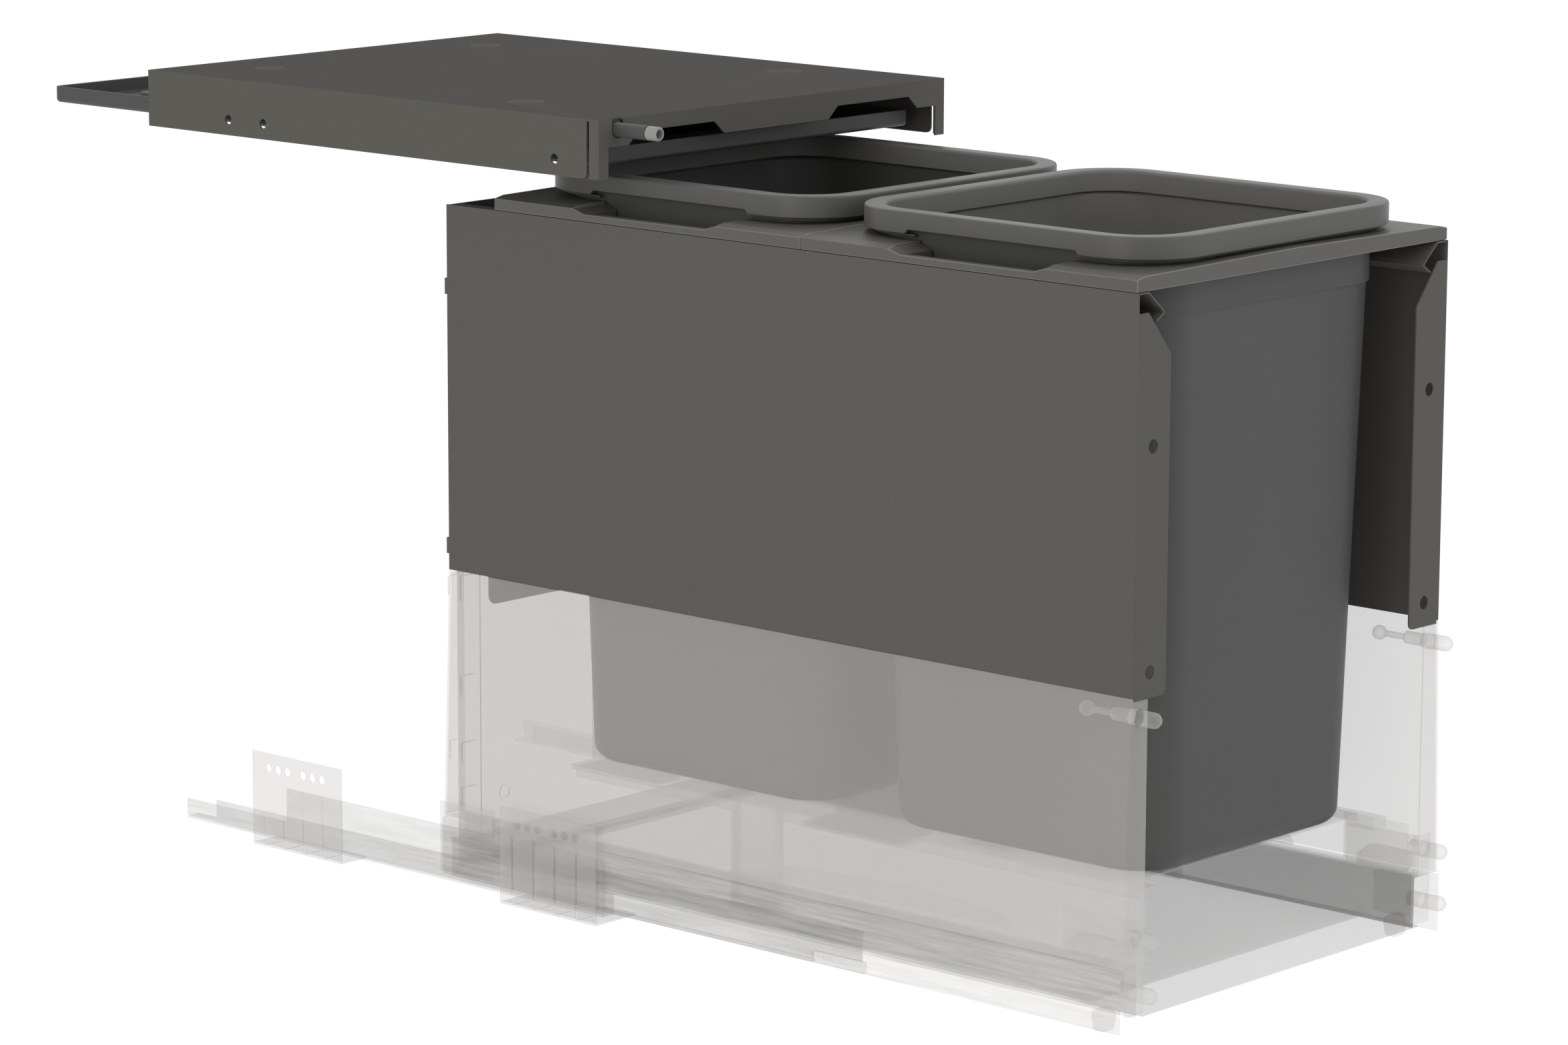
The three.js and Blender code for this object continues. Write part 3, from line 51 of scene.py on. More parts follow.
# ---- Sizes in millimetres, y from the lid's front face and z from the brackets' underside -------
MILLI = 0.001
FRONT_SHIFT = -46.7           # y of the lid's front face in the shared frame
FACE_PLAY = 0.001             # keeps two faces of one skin from lying in the same plane
NEAR = 0.01                   # tolerance when points of a loop are picked out
BIN_Y = {"front": -275.6, "rear": -24.6}
BIN_TOP = (115.1, 108.1)
BIN_FLOOR = (102.4, 103.2)
BIN_TOP_CORNER = 38.0
BIN_FLOOR_CORNER = 34.0
BIN_WALL = 2.4
BIN_FLOOR_Z = 85.2
BIN_FLOOR_ROUND = 10.0
BAND_Z = 411.0
BAND_STEP = 1.7
FLANGE_HALF = (121.0, 114.0)
FLANGE_Z = 442.8
FLANGE_TOP = 444.5
RIM_TOP = 454.8
RIM_INSET = 7.7
RIM_WALL = 2.0
RING_HALF = (125.2, 118.3)
RING_CORNER = 42.5
RING_WIDTH = 13.0
RING_Z = 444.8
RING_TOP = 457.8
RING_WALL = 2.5
RING_INNER_WALL = 2.0
RING_OUTER_ROUND = 1.4
RING_BORE_ROUND = 2.1
RING_STEP_HALF = 62.0
RING_STEP_RISE = 2.5
RING_EDGE = 0.4
NOTCH_HALF = 60.0
NOTCH_SLOPE = 0.3
FLANGE_CORNER = RING_CORNER - 4
INNER_BAND_RISE = 0.5         # the inside of the band ends this far above its outer foot
INNER_WALL_DROP = 1.5         # and the inside of the wall starts this far below it
INNER_FOOT_RISE = 4
ARC_STEPS = 14
FOOT_STEPS = 8
INNER_FOOT_STEPS = 6
RING_OUTER_STEPS = 6
RING_BORE_STEPS = 5

# Sections as inset and z, each from its foot.
WALL_PROFILE = ((0.0, BAND_Z - 0.8), (-0.3, BAND_Z - 0.2))
BAND_PROFILE = ((0.4, BAND_Z), (0.1, BAND_Z + 0.3), (0.0, BAND_Z + 1), (0.0, FLANGE_Z))
FLANGE_PROFILE = (
    (0.3, FLANGE_Z + FACE_PLAY), (0.0, FLANGE_Z + 0.4), (0.0, FLANGE_TOP - 0.4), (0.4, FLANGE_TOP),
)
RIM_PROFILE = (
    (0.0, FLANGE_TOP + FACE_PLAY), (0.0, RIM_TOP - 0.5), (0.5, RIM_TOP),
    (RIM_WALL - 0.4, RIM_TOP), (RIM_WALL, RIM_TOP - 0.5), (RIM_WALL, FLANGE_TOP),
)
BIN_INSIDE_ROW = 24           # the first row of the bin's inside, below the rim
RING_BORE_ROWS = range(10, 16)

# Widths of rounded edges, and the angles in degrees from which an edge is one.
LID_EDGE = 0.6
TRAY_EDGE = 0.45
SHEET_EDGE = 0.35
MOULD_EDGE = 0.55
ROD_EDGE = 0.4
TIP_EDGE = 0.3
CLEAR_EDGE = 0.3
SKIN_SHARP = 32
SOLID_SHARP = 28
LID_SHARP = 7                 # low, so that the lid's shallow dishes keep their edges
CLEAR_SHARP = 40


def place(x, y, z):
    return Vector((x, y + FRONT_SHIFT, z)) * MILLI


# ---- Mesh helpers -------------------------------------------------------------------------
def rounded_loop(half_x, half_y, corner, z, centre_y, side_y=()):
    """Points round a rounded rectangle, with extra points along its two long sides at side_y."""
    points = []
    for quadrant in range(4):
        sign_x = 1 if quadrant in (0, 3) else -1
        sign_y = 1 if quadrant < 2 else -1
        for step in range(ARC_STEPS + 1):
            angle = (quadrant + step / ARC_STEPS) * math.pi / 2
            points.append(place(
                sign_x * (half_x - corner) + corner * math.cos(angle),
                centre_y + sign_y * (half_y - corner) + corner * math.sin(angle),
                z,
            ))
        if quadrant == 1:
            points += [place(-half_x, centre_y - y, z) for y in side_y]
        if quadrant == 3:
            points += [place(half_x, centre_y + y, z) for y in side_y]
    return points


def new_object(name, mesh):
    piece = bpy.data.objects.new(name, mesh)
    bpy.context.scene.collection.objects.link(piece)
    return piece


def smooth(mesh, sharp_angle):
    mesh.shade_smooth()
    mesh.set_sharp_from_angle(angle=math.radians(sharp_angle))


def skin(name, loops, materials, inside=(), closed=False):
    """A skin through loops of equal count; its ends are capped, or it closes on itself.

    The rows whose numbers are in inside take the second material.
    """
    mesh = bmesh.new()
    rows = [[mesh.verts.new(point) for point in loop] for loop in loops]
    count = len(rows[0])
    pairs = list(zip(rows, rows[1:]))
    if closed:
        pairs.append((rows[-1], rows[0]))
    for row, (low, high) in enumerate(pairs):
        for index in range(count):
            following = (index + 1) % count
            face = mesh.faces.new((low[index], low[following], high[following], high[index]))
            face.material_index = 1 if row in inside else 0
    if not closed:
        mesh.faces.new(list(reversed(rows[0])))
        mesh.faces.new(rows[-1]).material_index = len(materials) - 1
    bmesh.ops.recalc_face_normals(mesh, faces=mesh.faces)
    data = bpy.data.meshes.new(name)
    mesh.to_mesh(data)
    mesh.free()
    smooth(data, SKIN_SHARP)
    for material in materials:
        data.materials.append(material)
    return new_object(name, data)


def arc(centre, radius, start, end, steps):
    """Points (u, v) on an arc; angles in degrees."""
    points = []
    for step in range(steps + 1):
        angle = math.radians(start + (end - start) * step / steps)
        points.append((centre[0] + radius * math.cos(angle), centre[1] + radius * math.sin(angle)))
    return points


def softened(
    node, name, body, material, width, edge=None, segments=3, sharp_angle=SOLID_SHARP,
):
    """A copy of a CAD node's solid with its edges rounded; they take the edge material, a painted
    highlight, if one is given.
    """
    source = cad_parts[node]
    mesh = bmesh.new()
    mesh.from_mesh(source.data)
    bmesh.ops.remove_doubles(mesh, verts=mesh.verts, dist=1e-6)
    data = bpy.data.meshes.new(name)
    mesh.to_mesh(data)
    mesh.free()
    smooth(data, sharp_angle)
    piece = new_object(name, data)
    bevel = piece.modifiers.new("edge_round", "BEVEL")
    bevel.width = width * MILLI
    bevel.segments = segments
    bevel.limit_method = "ANGLE"
    bevel.angle_limit = math.radians(SOLID_SHARP)
    bevel.miter_outer = "MITER_ARC"
    if edge is not None:
        bevel.material = 1
    weighted = piece.modifiers.new("flat_faces", "WEIGHTED_NORMAL")
    weighted.mode = "FACE_AREA"
    weighted.keep_sharp = True
    piece.data.materials.append(material)
    if edge is not None:
        piece.data.materials.append(edge)
    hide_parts(node)
    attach(piece, body)
    return piece


# ---- Materials ----------------------------------------------------------------------------
# Noise scales count features in a metre, and relief depths are metres.
COAT_GRAIN = 1500.0
FRAME_GRAIN = 1800.0
MOULD_GRAIN = 2100.0
TIP_GRAIN = 1600.0
SPECKLE = 900.0
SECTION_LINES = 420.0
ROUGHNESS_DRIFT = 14.0
GRAIN_DETAIL = 3.0
STREAK_DETAIL = 4.0
GRAIN_DEPTH = 0.00006
STREAK_DEPTH = 0.00004
NOISE_RANGE = (0.3, 0.7)      # where most values of a noise lie
FACING_FROM = 0.975           # from here to 1 a surface that faces an axis changes its tone
GLASS_BLEND = 0.35
EVEN = (1.0, 1.0, 1.0)
LINES_ALONG_Y = (1.0, 0.04, 1.0)
SHADE_X = (0.136, 0.15)       # metres off the middle, from the drawer's shade to the outer side
SHADE_STREAKS = 0.35
SHADE_RAMP = (0.08, 1.0)


def base_material(name):
    material = bpy.data.materials.new(name)
    material.use_nodes = True
    nodes = material.node_tree.nodes
    links = material.node_tree.links
    return material, nodes, links, nodes["Principled BSDF"]


def noise(nodes, links, scale, detail=2.0, stretch=(1, 1, 1)):
    coordinates = nodes.new("ShaderNodeTexCoord")
    mapping = nodes.new("ShaderNodeMapping")
    mapping.inputs["Scale"].default_value = stretch
    texture = nodes.new("ShaderNodeTexNoise")
    texture.inputs["Scale"].default_value = scale
    texture.inputs["Detail"].default_value = detail
    links.new(coordinates.outputs["Object"], mapping.inputs["Vector"])
    links.new(mapping.outputs["Vector"], texture.inputs["Vector"])
    return texture


def ramp(nodes, links, source, low, high, places=NOISE_RANGE):
    colours = nodes.new("ShaderNodeValToRGB")
    for stop, place_at, colour in zip(colours.color_ramp.elements, places, (low, high)):
        stop.position = place_at
        stop.color = (*colour, 1)
    links.new(source, colours.inputs["Fac"])
    return colours.outputs["Color"]


def spread(nodes, links, source, low, high):
    value = nodes.new("ShaderNodeMapRange")
    value.inputs["From Min"].default_value = NOISE_RANGE[0]
    value.inputs["From Max"].default_value = NOISE_RANGE[1]
    value.inputs["To Min"].default_value = low
    value.inputs["To Max"].default_value = high
    links.new(source, value.inputs["Value"])
    return value.outputs["Result"]


def bump(nodes, links, source, strength, distance):
    node = nodes.new("ShaderNodeBump")
    node.inputs["Strength"].default_value = strength
    node.inputs["Distance"].default_value = distance
    links.new(source, node.inputs["Height"])
    return node.outputs["Normal"]


def toned_by_slope(nodes, links, colour, axis, facing_tone):
    """The colour, times facing_tone where the surface faces along the axis.

    It stands in for the photograph's light and isn't a property of the finish.
    """
    coordinates = nodes.new("ShaderNodeTexCoord")
    split = nodes.new("ShaderNodeSeparateXYZ")
    links.new(coordinates.outputs["Normal"], split.inputs["Vector"])
    size = nodes.new("ShaderNodeMath")
    size.operation = "ABSOLUTE"
    links.new(split.outputs[axis], size.inputs[0])
    tone = nodes.new("ShaderNodeMapRange")
    tone.inputs["From Min"].default_value = FACING_FROM
    tone.inputs["From Max"].default_value = 1.0
    tone.inputs["To Min"].default_value = 1.0
    tone.inputs["To Max"].default_value = facing_tone
    links.new(size.outputs[0], tone.inputs["Value"])
    scaled = nodes.new("ShaderNodeVectorMath")
    scaled.operation = "SCALE"
    links.new(colour, scaled.inputs["Vector"])
    links.new(tone.outputs["Result"], scaled.inputs["Scale"])
    return scaled.outputs["Vector"]


def grained(name, colour, vary, grain, relief, roughness, specular=0.35, painted_top_shade=None):
    """A solid finish: fine grain in colour and bump, and a slow drift in its roughness."""
    material, nodes, links, shader = base_material(name)
    fine = noise(nodes, links, grain, GRAIN_DETAIL)
    low = [channel * (1 - vary) for channel in colour]
    high = [channel * (1 + vary) for channel in colour]
    tint = ramp(nodes, links, fine.outputs["Fac"], low, high)
    # Faces that point up are scaled by a painted shade tone here.
    if painted_top_shade is not None:
        tint = toned_by_slope(nodes, links, tint, "Z", painted_top_shade)
    links.new(tint, shader.inputs["Base Color"])
    slow = noise(nodes, links, ROUGHNESS_DRIFT)
    links.new(spread(nodes, links, slow.outputs["Fac"], *roughness), shader.inputs["Roughness"])
    normal = bump(nodes, links, fine.outputs["Fac"], relief, GRAIN_DEPTH)
    links.new(normal, shader.inputs["Normal"])
    shader.inputs["Specular IOR Level"].default_value = specular
    return material


def see_through(
    name, colour, alpha, stretch, grain, vary, roughness, relief, specular=0.4, painted_front_light=None,
):
    """A pale see-through finish, with streaks or mottling in its colour."""
    material, nodes, links, shader = base_material(name)
    streaks = noise(nodes, links, grain, STREAK_DETAIL, stretch)
    low = [channel * (1 - vary) for channel in colour]
    high = [min(channel * (1 + vary), 1.0) for channel in colour]
    tint = ramp(nodes, links, streaks.outputs["Fac"], low, high)
    # Faces that point along y are scaled by a painted light tone here.
    if painted_front_light is not None:
        tint = toned_by_slope(nodes, links, tint, "Y", painted_front_light)
    links.new(tint, shader.inputs["Base Color"])
    links.new(spread(nodes, links, streaks.outputs["Fac"], *roughness), shader.inputs["Roughness"])
    normal = bump(nodes, links, streaks.outputs["Fac"], relief, STREAK_DEPTH)
    links.new(normal, shader.inputs["Normal"])
    shader.inputs["Alpha"].default_value = alpha
    shader.inputs["Specular IOR Level"].default_value = specular
    material.surface_render_method = "BLENDED"
    return material


def glassy(name, low, high, core_alpha, rim_alpha):
    """Clear moulded plastic like glass: it lets less through where it is crossed at a low angle."""
    material, nodes, links, shader = base_material(name)
    weight = nodes.new("ShaderNodeLayerWeight")
    weight.inputs["Blend"].default_value = GLASS_BLEND
    speckle = noise(nodes, links, SPECKLE, GRAIN_DETAIL)
    links.new(ramp(nodes, links, speckle.outputs["Fac"], low, high), shader.inputs["Base Color"])
    alpha = nodes.new("ShaderNodeMapRange")
    alpha.inputs["To Min"].default_value = core_alpha
    alpha.inputs["To Max"].default_value = rim_alpha
    links.new(weight.outputs["Facing"], alpha.inputs["Value"])
    links.new(alpha.outputs["Result"], shader.inputs["Alpha"])
    links.new(spread(nodes, links, speckle.outputs["Fac"], 0.1, 0.16), shader.inputs["Roughness"])
    shader.inputs["Specular IOR Level"].default_value = 0.7
    material.surface_render_method = "BLENDED"
    return material


powder_coat = grained(
    "powder_coat", (0.117, 0.114, 0.105), vary=0.06, grain=COAT_GRAIN, relief=0.08,
    roughness=(0.65, 0.68), specular=0.06,
)
# The lid's upward faces are painted darker: painted shade on its top.
lid_coat = grained(
    "lid_coat", (0.116, 0.113, 0.103), vary=0.06, grain=COAT_GRAIN, relief=0.05,
    roughness=(0.66, 0.68), specular=0.05, painted_top_shade=0.52,
)
# Rounded edges of the coat: a painted highlight in a lighter colour, on a smoother, glossier coat.
coated_edge_highlight = grained(
    "coated_edge_highlight", (0.14, 0.138, 0.13), vary=0.1, grain=COAT_GRAIN, relief=0.1,
    roughness=(0.3, 0.4), specular=0.5,
)
bin_plastic = grained(
    "bin_plastic", (0.068, 0.069, 0.067), vary=0.05, grain=MOULD_GRAIN, relief=0.08,
    roughness=(0.46, 0.5), specular=0.3,
)
# A lighter copy of the bin plastic for insides: painted light.
painted_light_inside = grained(
    "painted_light_inside", (0.15, 0.15, 0.143), vary=0.08, grain=MOULD_GRAIN, relief=0.2,
    roughness=(0.5, 0.58), specular=0.3,
)
ring_plastic = grained(
    "ring_plastic", (0.094, 0.094, 0.089), vary=0.05, grain=MOULD_GRAIN, relief=0.08,
    roughness=(0.38, 0.42),
)
frame_plastic = grained(
    "frame_plastic", (0.096, 0.095, 0.088), vary=0.05, grain=FRAME_GRAIN, relief=0.08,
    roughness=(0.44, 0.48),
)
# Rounded edges of the frames: a painted highlight in a lighter colour, on a smoother, glossier surface.
frame_edge_highlight = grained(
    "frame_edge_highlight", (0.15, 0.149, 0.14), vary=0.08, grain=FRAME_GRAIN, relief=0.1,
    roughness=(0.3, 0.36), specular=0.5,
)
pale_plastic = grained(
    "pale_plastic", (0.30, 0.30, 0.28), vary=0.05, grain=TIP_GRAIN, relief=0.1,
    roughness=(0.32, 0.4),
)


def clear_sheet(name, tone, warmth=0.03, alpha=0.225, painted_front_light=None):
    colour = (tone, tone * (1 - warmth / 3), tone * (1 - warmth))
    return see_through(
        name, colour, alpha, EVEN, COAT_GRAIN, vary=0.03, roughness=(0.35, 0.5), relief=0.02,
        painted_front_light=painted_front_light,
    )


def clear_section(name, tone, alpha=0.2, vary=0.45):
    colour = (tone, tone * 0.99, tone * 0.95)
    return see_through(
        name, colour, alpha, LINES_ALONG_Y, SECTION_LINES, vary, roughness=(0.3, 0.5), relief=0.03,
    )


def shaded_section(name, inner, outer, inner_alpha, outer_alpha):
    """A profile whose skirt towards the drawer lies in shade: darker and denser there than outside."""
    material, nodes, links, shader = base_material(name)
    lines = noise(nodes, links, SECTION_LINES, STREAK_DETAIL, LINES_ALONG_Y)
    coordinates = nodes.new("ShaderNodeTexCoord")
    split = nodes.new("ShaderNodeSeparateXYZ")
    links.new(coordinates.outputs["Object"], split.inputs["Vector"])
    depth = nodes.new("ShaderNodeMapRange")
    depth.inputs["From Min"].default_value = SHADE_X[0]
    depth.inputs["From Max"].default_value = SHADE_X[1]
    links.new(split.outputs["X"], depth.inputs["Value"])
    streaked = nodes.new("ShaderNodeMath")
    streaked.operation = "MULTIPLY_ADD"
    streaked.inputs[1].default_value = SHADE_STREAKS
    links.new(lines.outputs["Fac"], streaked.inputs[0])
    links.new(depth.outputs["Result"], streaked.inputs[2])
    tint = ramp(nodes, links, streaked.outputs[0], inner, outer, SHADE_RAMP)
    links.new(tint, shader.inputs["Base Color"])
    alpha = nodes.new("ShaderNodeMapRange")
    alpha.inputs["To Min"].default_value = inner_alpha
    alpha.inputs["To Max"].default_value = outer_alpha
    links.new(depth.outputs["Result"], alpha.inputs["Value"])
    links.new(alpha.outputs["Result"], shader.inputs["Alpha"])
    shader.inputs["Roughness"].default_value = 0.45
    material.surface_render_method = "BLENDED"
    return material


# The tones are fitted to the photograph, where light comes from the left and the drawer's inside
# lies in shade. The far runner, the housings and the caps are faint, as they hardly show there.
clear_finishes = {
    # The left panel is painted lighter as lit and the right panel darker as shaded; the right panel's
    # faces that point along y are painted lighter: painted light and shade.
    "lower_panel_left": clear_sheet("clear_outer_panel", 0.775, warmth=0.05),
    "lower_panel_right": clear_sheet("clear_inner_panel", 0.5, painted_front_light=1.8),
    # The rear wall is painted near-black and denser: painted shade.
    "rear_wall": clear_sheet("clear_rear_wall", 0.14, alpha=0.27),
    "drawer_bottom": clear_sheet("clear_floor", 0.3),
    "drawer_liner": clear_sheet("clear_liner", 0.6),
    "bin_base": clear_sheet("clear_base", 0.66, alpha=0.19),
    "runner_bracket": clear_sheet("clear_bracket", 0.6, warmth=0.05),
    "front_bracket": clear_sheet("clear_fixing", 0.72, alpha=0.16),
    "drawer_cheek": clear_sheet("clear_cheek", 0.7, alpha=0.18),
    "cabinet_runner_right": clear_section("clear_far_runner", 0.6, alpha=0.1),
    "cabinet_runner_left": clear_section("clear_runner", 0.48),
    "lever_housing": clear_sheet("clear_housing", 0.7, alpha=0.1),
    "cover_cap": clear_sheet("clear_cap", 0.75, alpha=0.12),
    "middle_runner": clear_section("clear_middle", 0.24, alpha=0.24),
    "drawer_profile_left": clear_section("clear_outer_profile", 0.62, vary=0.4),
    "drawer_profile_right": shaded_section(
        "clear_inner_profile", inner=(0.085, 0.085, 0.082), outer=(0.62, 0.615, 0.6),
        inner_alpha=0.46, outer_alpha=0.15,
    ),
    "rear_rail": clear_section("clear_rail", 0.4),
}
glass_plastic = glassy(
    "glass_plastic", low=(0.64, 0.63, 0.6), high=(0.74, 0.73, 0.7), core_alpha=0.14, rim_alpha=0.5,
)
clear_plastic = see_through(
    "clear_plastic", (0.62, 0.61, 0.58), 0.2, EVEN, SPECKLE, vary=0.06, roughness=(0.12, 0.2),
    relief=0.03, specular=0.6,
)
clear_edge = see_through(
    "clear_edge", (0.34, 0.335, 0.32), 0.4, EVEN, SPECKLE, vary=0.06, roughness=(0.3, 0.4),
    relief=0.02,
)


# ---- Bins ---------------------------------------------------------------------------------
def off_middle(point, centre_y):
    """How far a point lies from the bin's middle along y, in millimetres."""
    return abs(point.y / MILLI - FRONT_SHIFT - centre_y)


def bin_loops(centre_y):
    band = [half + BAND_STEP for half in BIN_TOP]
    band_corner = BIN_TOP_CORNER + BAND_STEP
    rim = [half - RIM_INSET for half in RING_HALF]
    side_y = (-NOTCH_HALF - NOTCH_SLOPE, -NOTCH_HALF, NOTCH_HALF, NOTCH_HALF + NOTCH_SLOPE)
    loops = []

    def level(half, corner, inset, z, notched=False):
        loop = rounded_loop(half[0] - inset, half[1] - inset, corner - inset, z, centre_y, side_y)
        if notched:
            edge = rim[0] * MILLI
            for point in loop:
                if abs(point.x) > edge and off_middle(point, centre_y) < NOTCH_HALF + NEAR:
                    point.x = math.copysign(edge, point.x)
        loops.append(loop)

    foot = (0, BIN_FLOOR_Z + BIN_FLOOR_ROUND)
    for u, v in arc(foot, BIN_FLOOR_ROUND, 270, 360, FOOT_STEPS):
        level(BIN_FLOOR, BIN_FLOOR_CORNER, BIN_FLOOR_ROUND - u, v)
    for inset, z in WALL_PROFILE:
        level(BIN_TOP, BIN_TOP_CORNER, inset, z)
    for inset, z in BAND_PROFILE:
        level(band, band_corner, inset, z)
    for inset, z in FLANGE_PROFILE:
        level(FLANGE_HALF, FLANGE_CORNER, inset, z, True)
    for inset, z in RIM_PROFILE:
        level(rim, RING_CORNER - RIM_INSET, inset, z)
    for z in (FLANGE_Z, BAND_Z + INNER_BAND_RISE):
        level(band, band_corner, BIN_WALL, z)
    level(BIN_TOP, BIN_TOP_CORNER, BIN_WALL, BAND_Z - INNER_WALL_DROP)
    share = (BIN_FLOOR_ROUND + INNER_FOOT_RISE) / (BAND_Z - BIN_FLOOR_Z)
    low = [floor + (top - floor) * share - BIN_WALL for floor, top in zip(BIN_FLOOR, BIN_TOP)]
    foot = (0, BIN_FLOOR_Z + BIN_WALL + BIN_FLOOR_ROUND)
    for u, v in arc(foot, BIN_FLOOR_ROUND, 0, -90, INNER_FOOT_STEPS):
        level(low, BIN_FLOOR_CORNER - BIN_WALL, BIN_FLOOR_ROUND - u, v)
    return loops


def ring_loops(centre_y):
    step_foot = RING_STEP_HALF + RING_STEP_RISE
    side_y = [-step_foot, -RING_STEP_HALF, RING_STEP_HALF, step_foot]
    loops = []

    def level(inset, z, stepped=False):
        loop = rounded_loop(
            RING_HALF[0] - inset, RING_HALF[1] - inset, RING_CORNER - inset, z, centre_y, side_y,
        )
        if stepped:
            edge = (RING_HALF[0] - inset - NEAR) * MILLI
            for point in loop:
                if abs(point.x) > edge and off_middle(point, centre_y) < RING_STEP_HALF + NEAR:
                    point.z += RING_STEP_RISE * MILLI
        loops.append(loop)

    level(RING_EDGE, RING_Z, True)
    level(0, RING_Z + RING_EDGE, True)
    level(0, RING_TOP - RING_OUTER_ROUND)
    centre = (RING_OUTER_ROUND, RING_TOP - RING_OUTER_ROUND)
    for u, v in arc(centre, RING_OUTER_ROUND, 180, 90, RING_OUTER_STEPS)[1:]:
        level(u, v)
    centre = (RING_WIDTH - RING_BORE_ROUND, RING_TOP - RING_BORE_ROUND)
    for u, v in arc(centre, RING_BORE_ROUND, 90, 0, RING_BORE_STEPS):
        level(u, v)
    level(RING_WIDTH, RING_Z + RING_EDGE)
    level(RING_WIDTH - RING_EDGE, RING_Z)
    level(RING_WIDTH - RING_INNER_WALL, RING_Z)
    level(RING_WIDTH - RING_INNER_WALL, RING_TOP - RING_WALL)
    level(RING_WALL, RING_TOP - RING_WALL)
    level(RING_WALL, RING_Z, True)
    return loops


for where, centre in BIN_Y.items():
    shell = bin_loops(centre)
    # The front bin's inside takes the lighter copy, which is painted light; the rear bin's inside keeps
    # the bin plastic.
    inside = painted_light_inside if where == "front" else bin_plastic
    inside_rows = range(BIN_INSIDE_ROW, len(shell))
    bucket = skin(f"{where}_bin_shell", shell, (bin_plastic, inside), inside_rows)
    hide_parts(f"bin_{where}")
    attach(bucket, "carriage")
    # The ring's bore takes the lighter copy of the bin plastic: painted light.
    ring = skin(
        f"{where}_bag_ring", ring_loops(centre), (ring_plastic, painted_light_inside), RING_BORE_ROWS, closed=True,
    )
    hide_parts(f"ring_{where}")
    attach(ring, "carriage")

# ---- Coated sheet steel and frames ----------------------------------------------------------
softened(
    "top_cover", "folded_lid", "cabinet_side", lid_coat, LID_EDGE, coated_edge_highlight,
    segments=4, sharp_angle=LID_SHARP,
)
softened("cover_tray", "closing_tray", "cover", bin_plastic, TRAY_EDGE)
for side in ("right", "left"):
    softened(
        f"side_panel_{side}", f"upper_panel_{side}", "carriage", powder_coat,
        SHEET_EDGE, coated_edge_highlight,
    )
softened("back_plate", "upper_back", "carriage", powder_coat, SHEET_EDGE, coated_edge_highlight)
for where in BIN_Y:
    softened(
        f"frame_{where}", f"tray_frame_{where}", "carriage", frame_plastic,
        MOULD_EDGE, frame_edge_highlight,
    )
softened("push_rod", "rod_body", "push_rod", bin_plastic, ROD_EDGE)
softened("push_rod_tip", "rod_tip", "push_rod", pale_plastic, TIP_EDGE)

# ---- Carried-over nodes ---------------------------------------------------------------------
for name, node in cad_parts.items():
    finish = clear_plastic
    if name.startswith(("cover_post", "rod_guide")):
        finish = bin_plastic
    if name.startswith(("dowel", "ball_screw", "adjuster")):
        finish = glass_plastic
    for start, clear in clear_finishes.items():
        if name.startswith(start):
            finish = clear
    node.data.materials.clear()
    node.data.materials.append(finish)
    if finish is not bin_plastic:
        node.data.materials.append(clear_edge)
        edges = node.modifiers.new("edge_round", "BEVEL")
        edges.width = CLEAR_EDGE * MILLI
        edges.segments = 1
        edges.limit_method = "ANGLE"
        edges.angle_limit = math.radians(CLEAR_SHARP)
        edges.material = 1

# ---- Stage --------------------------------------------------------------------------------
WORLD_LIGHT = 0.72
FLOOR_Z = -0.9
FLOOR_HALF = 9.0
FLOOR_TONE = 0.9
FLOOR_ROUGHNESS = 0.9
FLOOR_GLOW = 0.37
LAMP_TARGET = (0, 0, 0.25)


def white_to_camera(nodes, links, ordinary, plain):
    """A strength that is plain for camera and glossy rays, and ordinary for the rest."""
    path = nodes.new("ShaderNodeLightPath")
    either = nodes.new("ShaderNodeMath")
    either.operation = "MAXIMUM"
    links.new(path.outputs["Is Camera Ray"], either.inputs[0])
    links.new(path.outputs["Is Glossy Ray"], either.inputs[1])
    strength = nodes.new("ShaderNodeMapRange")
    strength.inputs["To Min"].default_value = ordinary
    strength.inputs["To Max"].default_value = plain
    links.new(either.outputs[0], strength.inputs["Value"])
    return strength.outputs["Result"]


world = bpy.data.worlds.new("studio")
bpy.context.scene.world = world
world.use_nodes = True
world_nodes = world.node_tree.nodes
background = world_nodes["Background"]
background.inputs["Color"].default_value = (1, 1, 1, 1)
world.node_tree.links.new(
    white_to_camera(world_nodes, world.node_tree.links, WORLD_LIGHT, 1.0), background.inputs["Strength"],
)

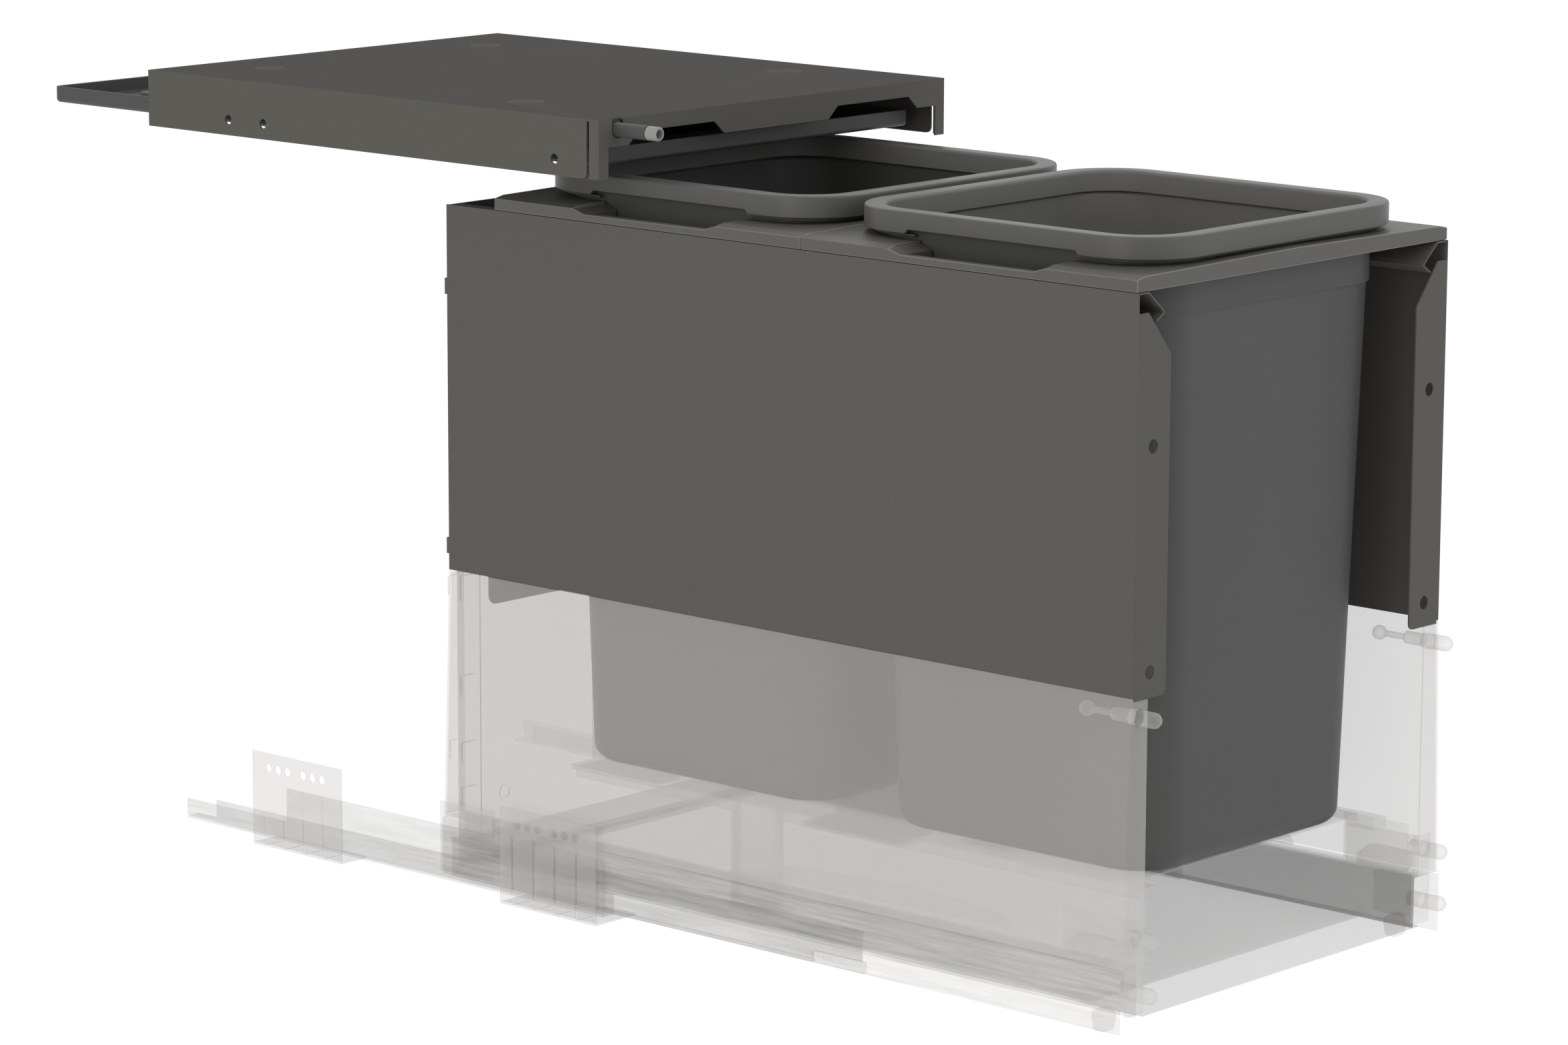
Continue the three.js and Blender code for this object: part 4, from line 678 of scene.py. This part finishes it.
floor_data = bpy.data.meshes.new("floor")
floor_data.from_pydata(
    [(-FLOOR_HALF, -FLOOR_HALF, FLOOR_Z), (FLOOR_HALF, -FLOOR_HALF, FLOOR_Z),
     (FLOOR_HALF, FLOOR_HALF, FLOOR_Z), (-FLOOR_HALF, FLOOR_HALF, FLOOR_Z)], [], [(0, 1, 2, 3)],
)
floor = new_object("floor", floor_data)
floor_material, floor_nodes, floor_links, floor_shader = base_material("pale_floor")
floor_shader.inputs["Base Color"].default_value = (FLOOR_TONE, FLOOR_TONE, FLOOR_TONE, 1)
floor_shader.inputs["Roughness"].default_value = FLOOR_ROUGHNESS
floor_shader.inputs["Specular IOR Level"].default_value = 0.0
floor_shader.inputs["Emission Color"].default_value = (1, 1, 1, 1)
floor_links.new(
    white_to_camera(floor_nodes, floor_links, 0.0, FLOOR_GLOW),
    floor_shader.inputs["Emission Strength"],
)
floor_data.materials.append(floor_material)


def lamp(name, location, size, energy, colour):
    data = bpy.data.lights.new(name, "AREA")
    data.shape = "DISK"
    data.size = size
    data.energy = energy
    data.color = colour
    light = bpy.data.objects.new(name, data)
    light.location = location
    aim = Vector(LAMP_TARGET) - Vector(location)
    light.rotation_mode = "QUATERNION"
    light.rotation_quaternion = aim.to_track_quat("-Z", "Y")
    bpy.context.scene.collection.objects.link(light)


lamp("left_soft", (-3.2, -0.6, 1.2), size=2.2, energy=22, colour=(1.0, 0.96, 0.86))
lamp("front_soft", (0.6, -3.4, 1.6), size=1.6, energy=12, colour=(1.0, 1.0, 1.0))
lamp("right_high", (2.7, -0.7, 2.6), size=1.5, energy=6, colour=(1.0, 1.0, 1.0))

# ---- Camera -------------------------------------------------------------------------------
back = Vector((
    math.sin(CAMERA_AZIMUTH) * math.cos(CAMERA_ELEVATION),
    -math.cos(CAMERA_AZIMUTH) * math.cos(CAMERA_ELEVATION),
    math.sin(CAMERA_ELEVATION),
))
level_right = (-back).cross(Vector((0, 0, 1))).normalized()
level_down = (-back).cross(level_right)
cosine, sine = math.cos(CAMERA_ROLL), math.sin(CAMERA_ROLL)
right = level_right * cosine - level_down * sine
down = level_right * sine + level_down * cosine
camera_data = bpy.data.cameras.new("camera")
camera_data.lens = CAMERA_LENS
camera_data.sensor_fit = "HORIZONTAL"
camera_data.sensor_width = SENSOR_WIDTH
camera = bpy.data.objects.new("camera", camera_data)
turn = Matrix((right, -down, back)).transposed().to_4x4()
camera.matrix_world = Matrix.Translation(CAMERA_PLACE) @ turn
bpy.context.scene.collection.objects.link(camera)
bpy.context.scene.camera = camera
bpy.context.scene.view_settings.view_transform = "Standard"
# The drawer shows many see-through faces behind each other, more than light paths follow by default.
bpy.context.scene.cycles.transparent_max_bounces = TRANSPARENT_FACES
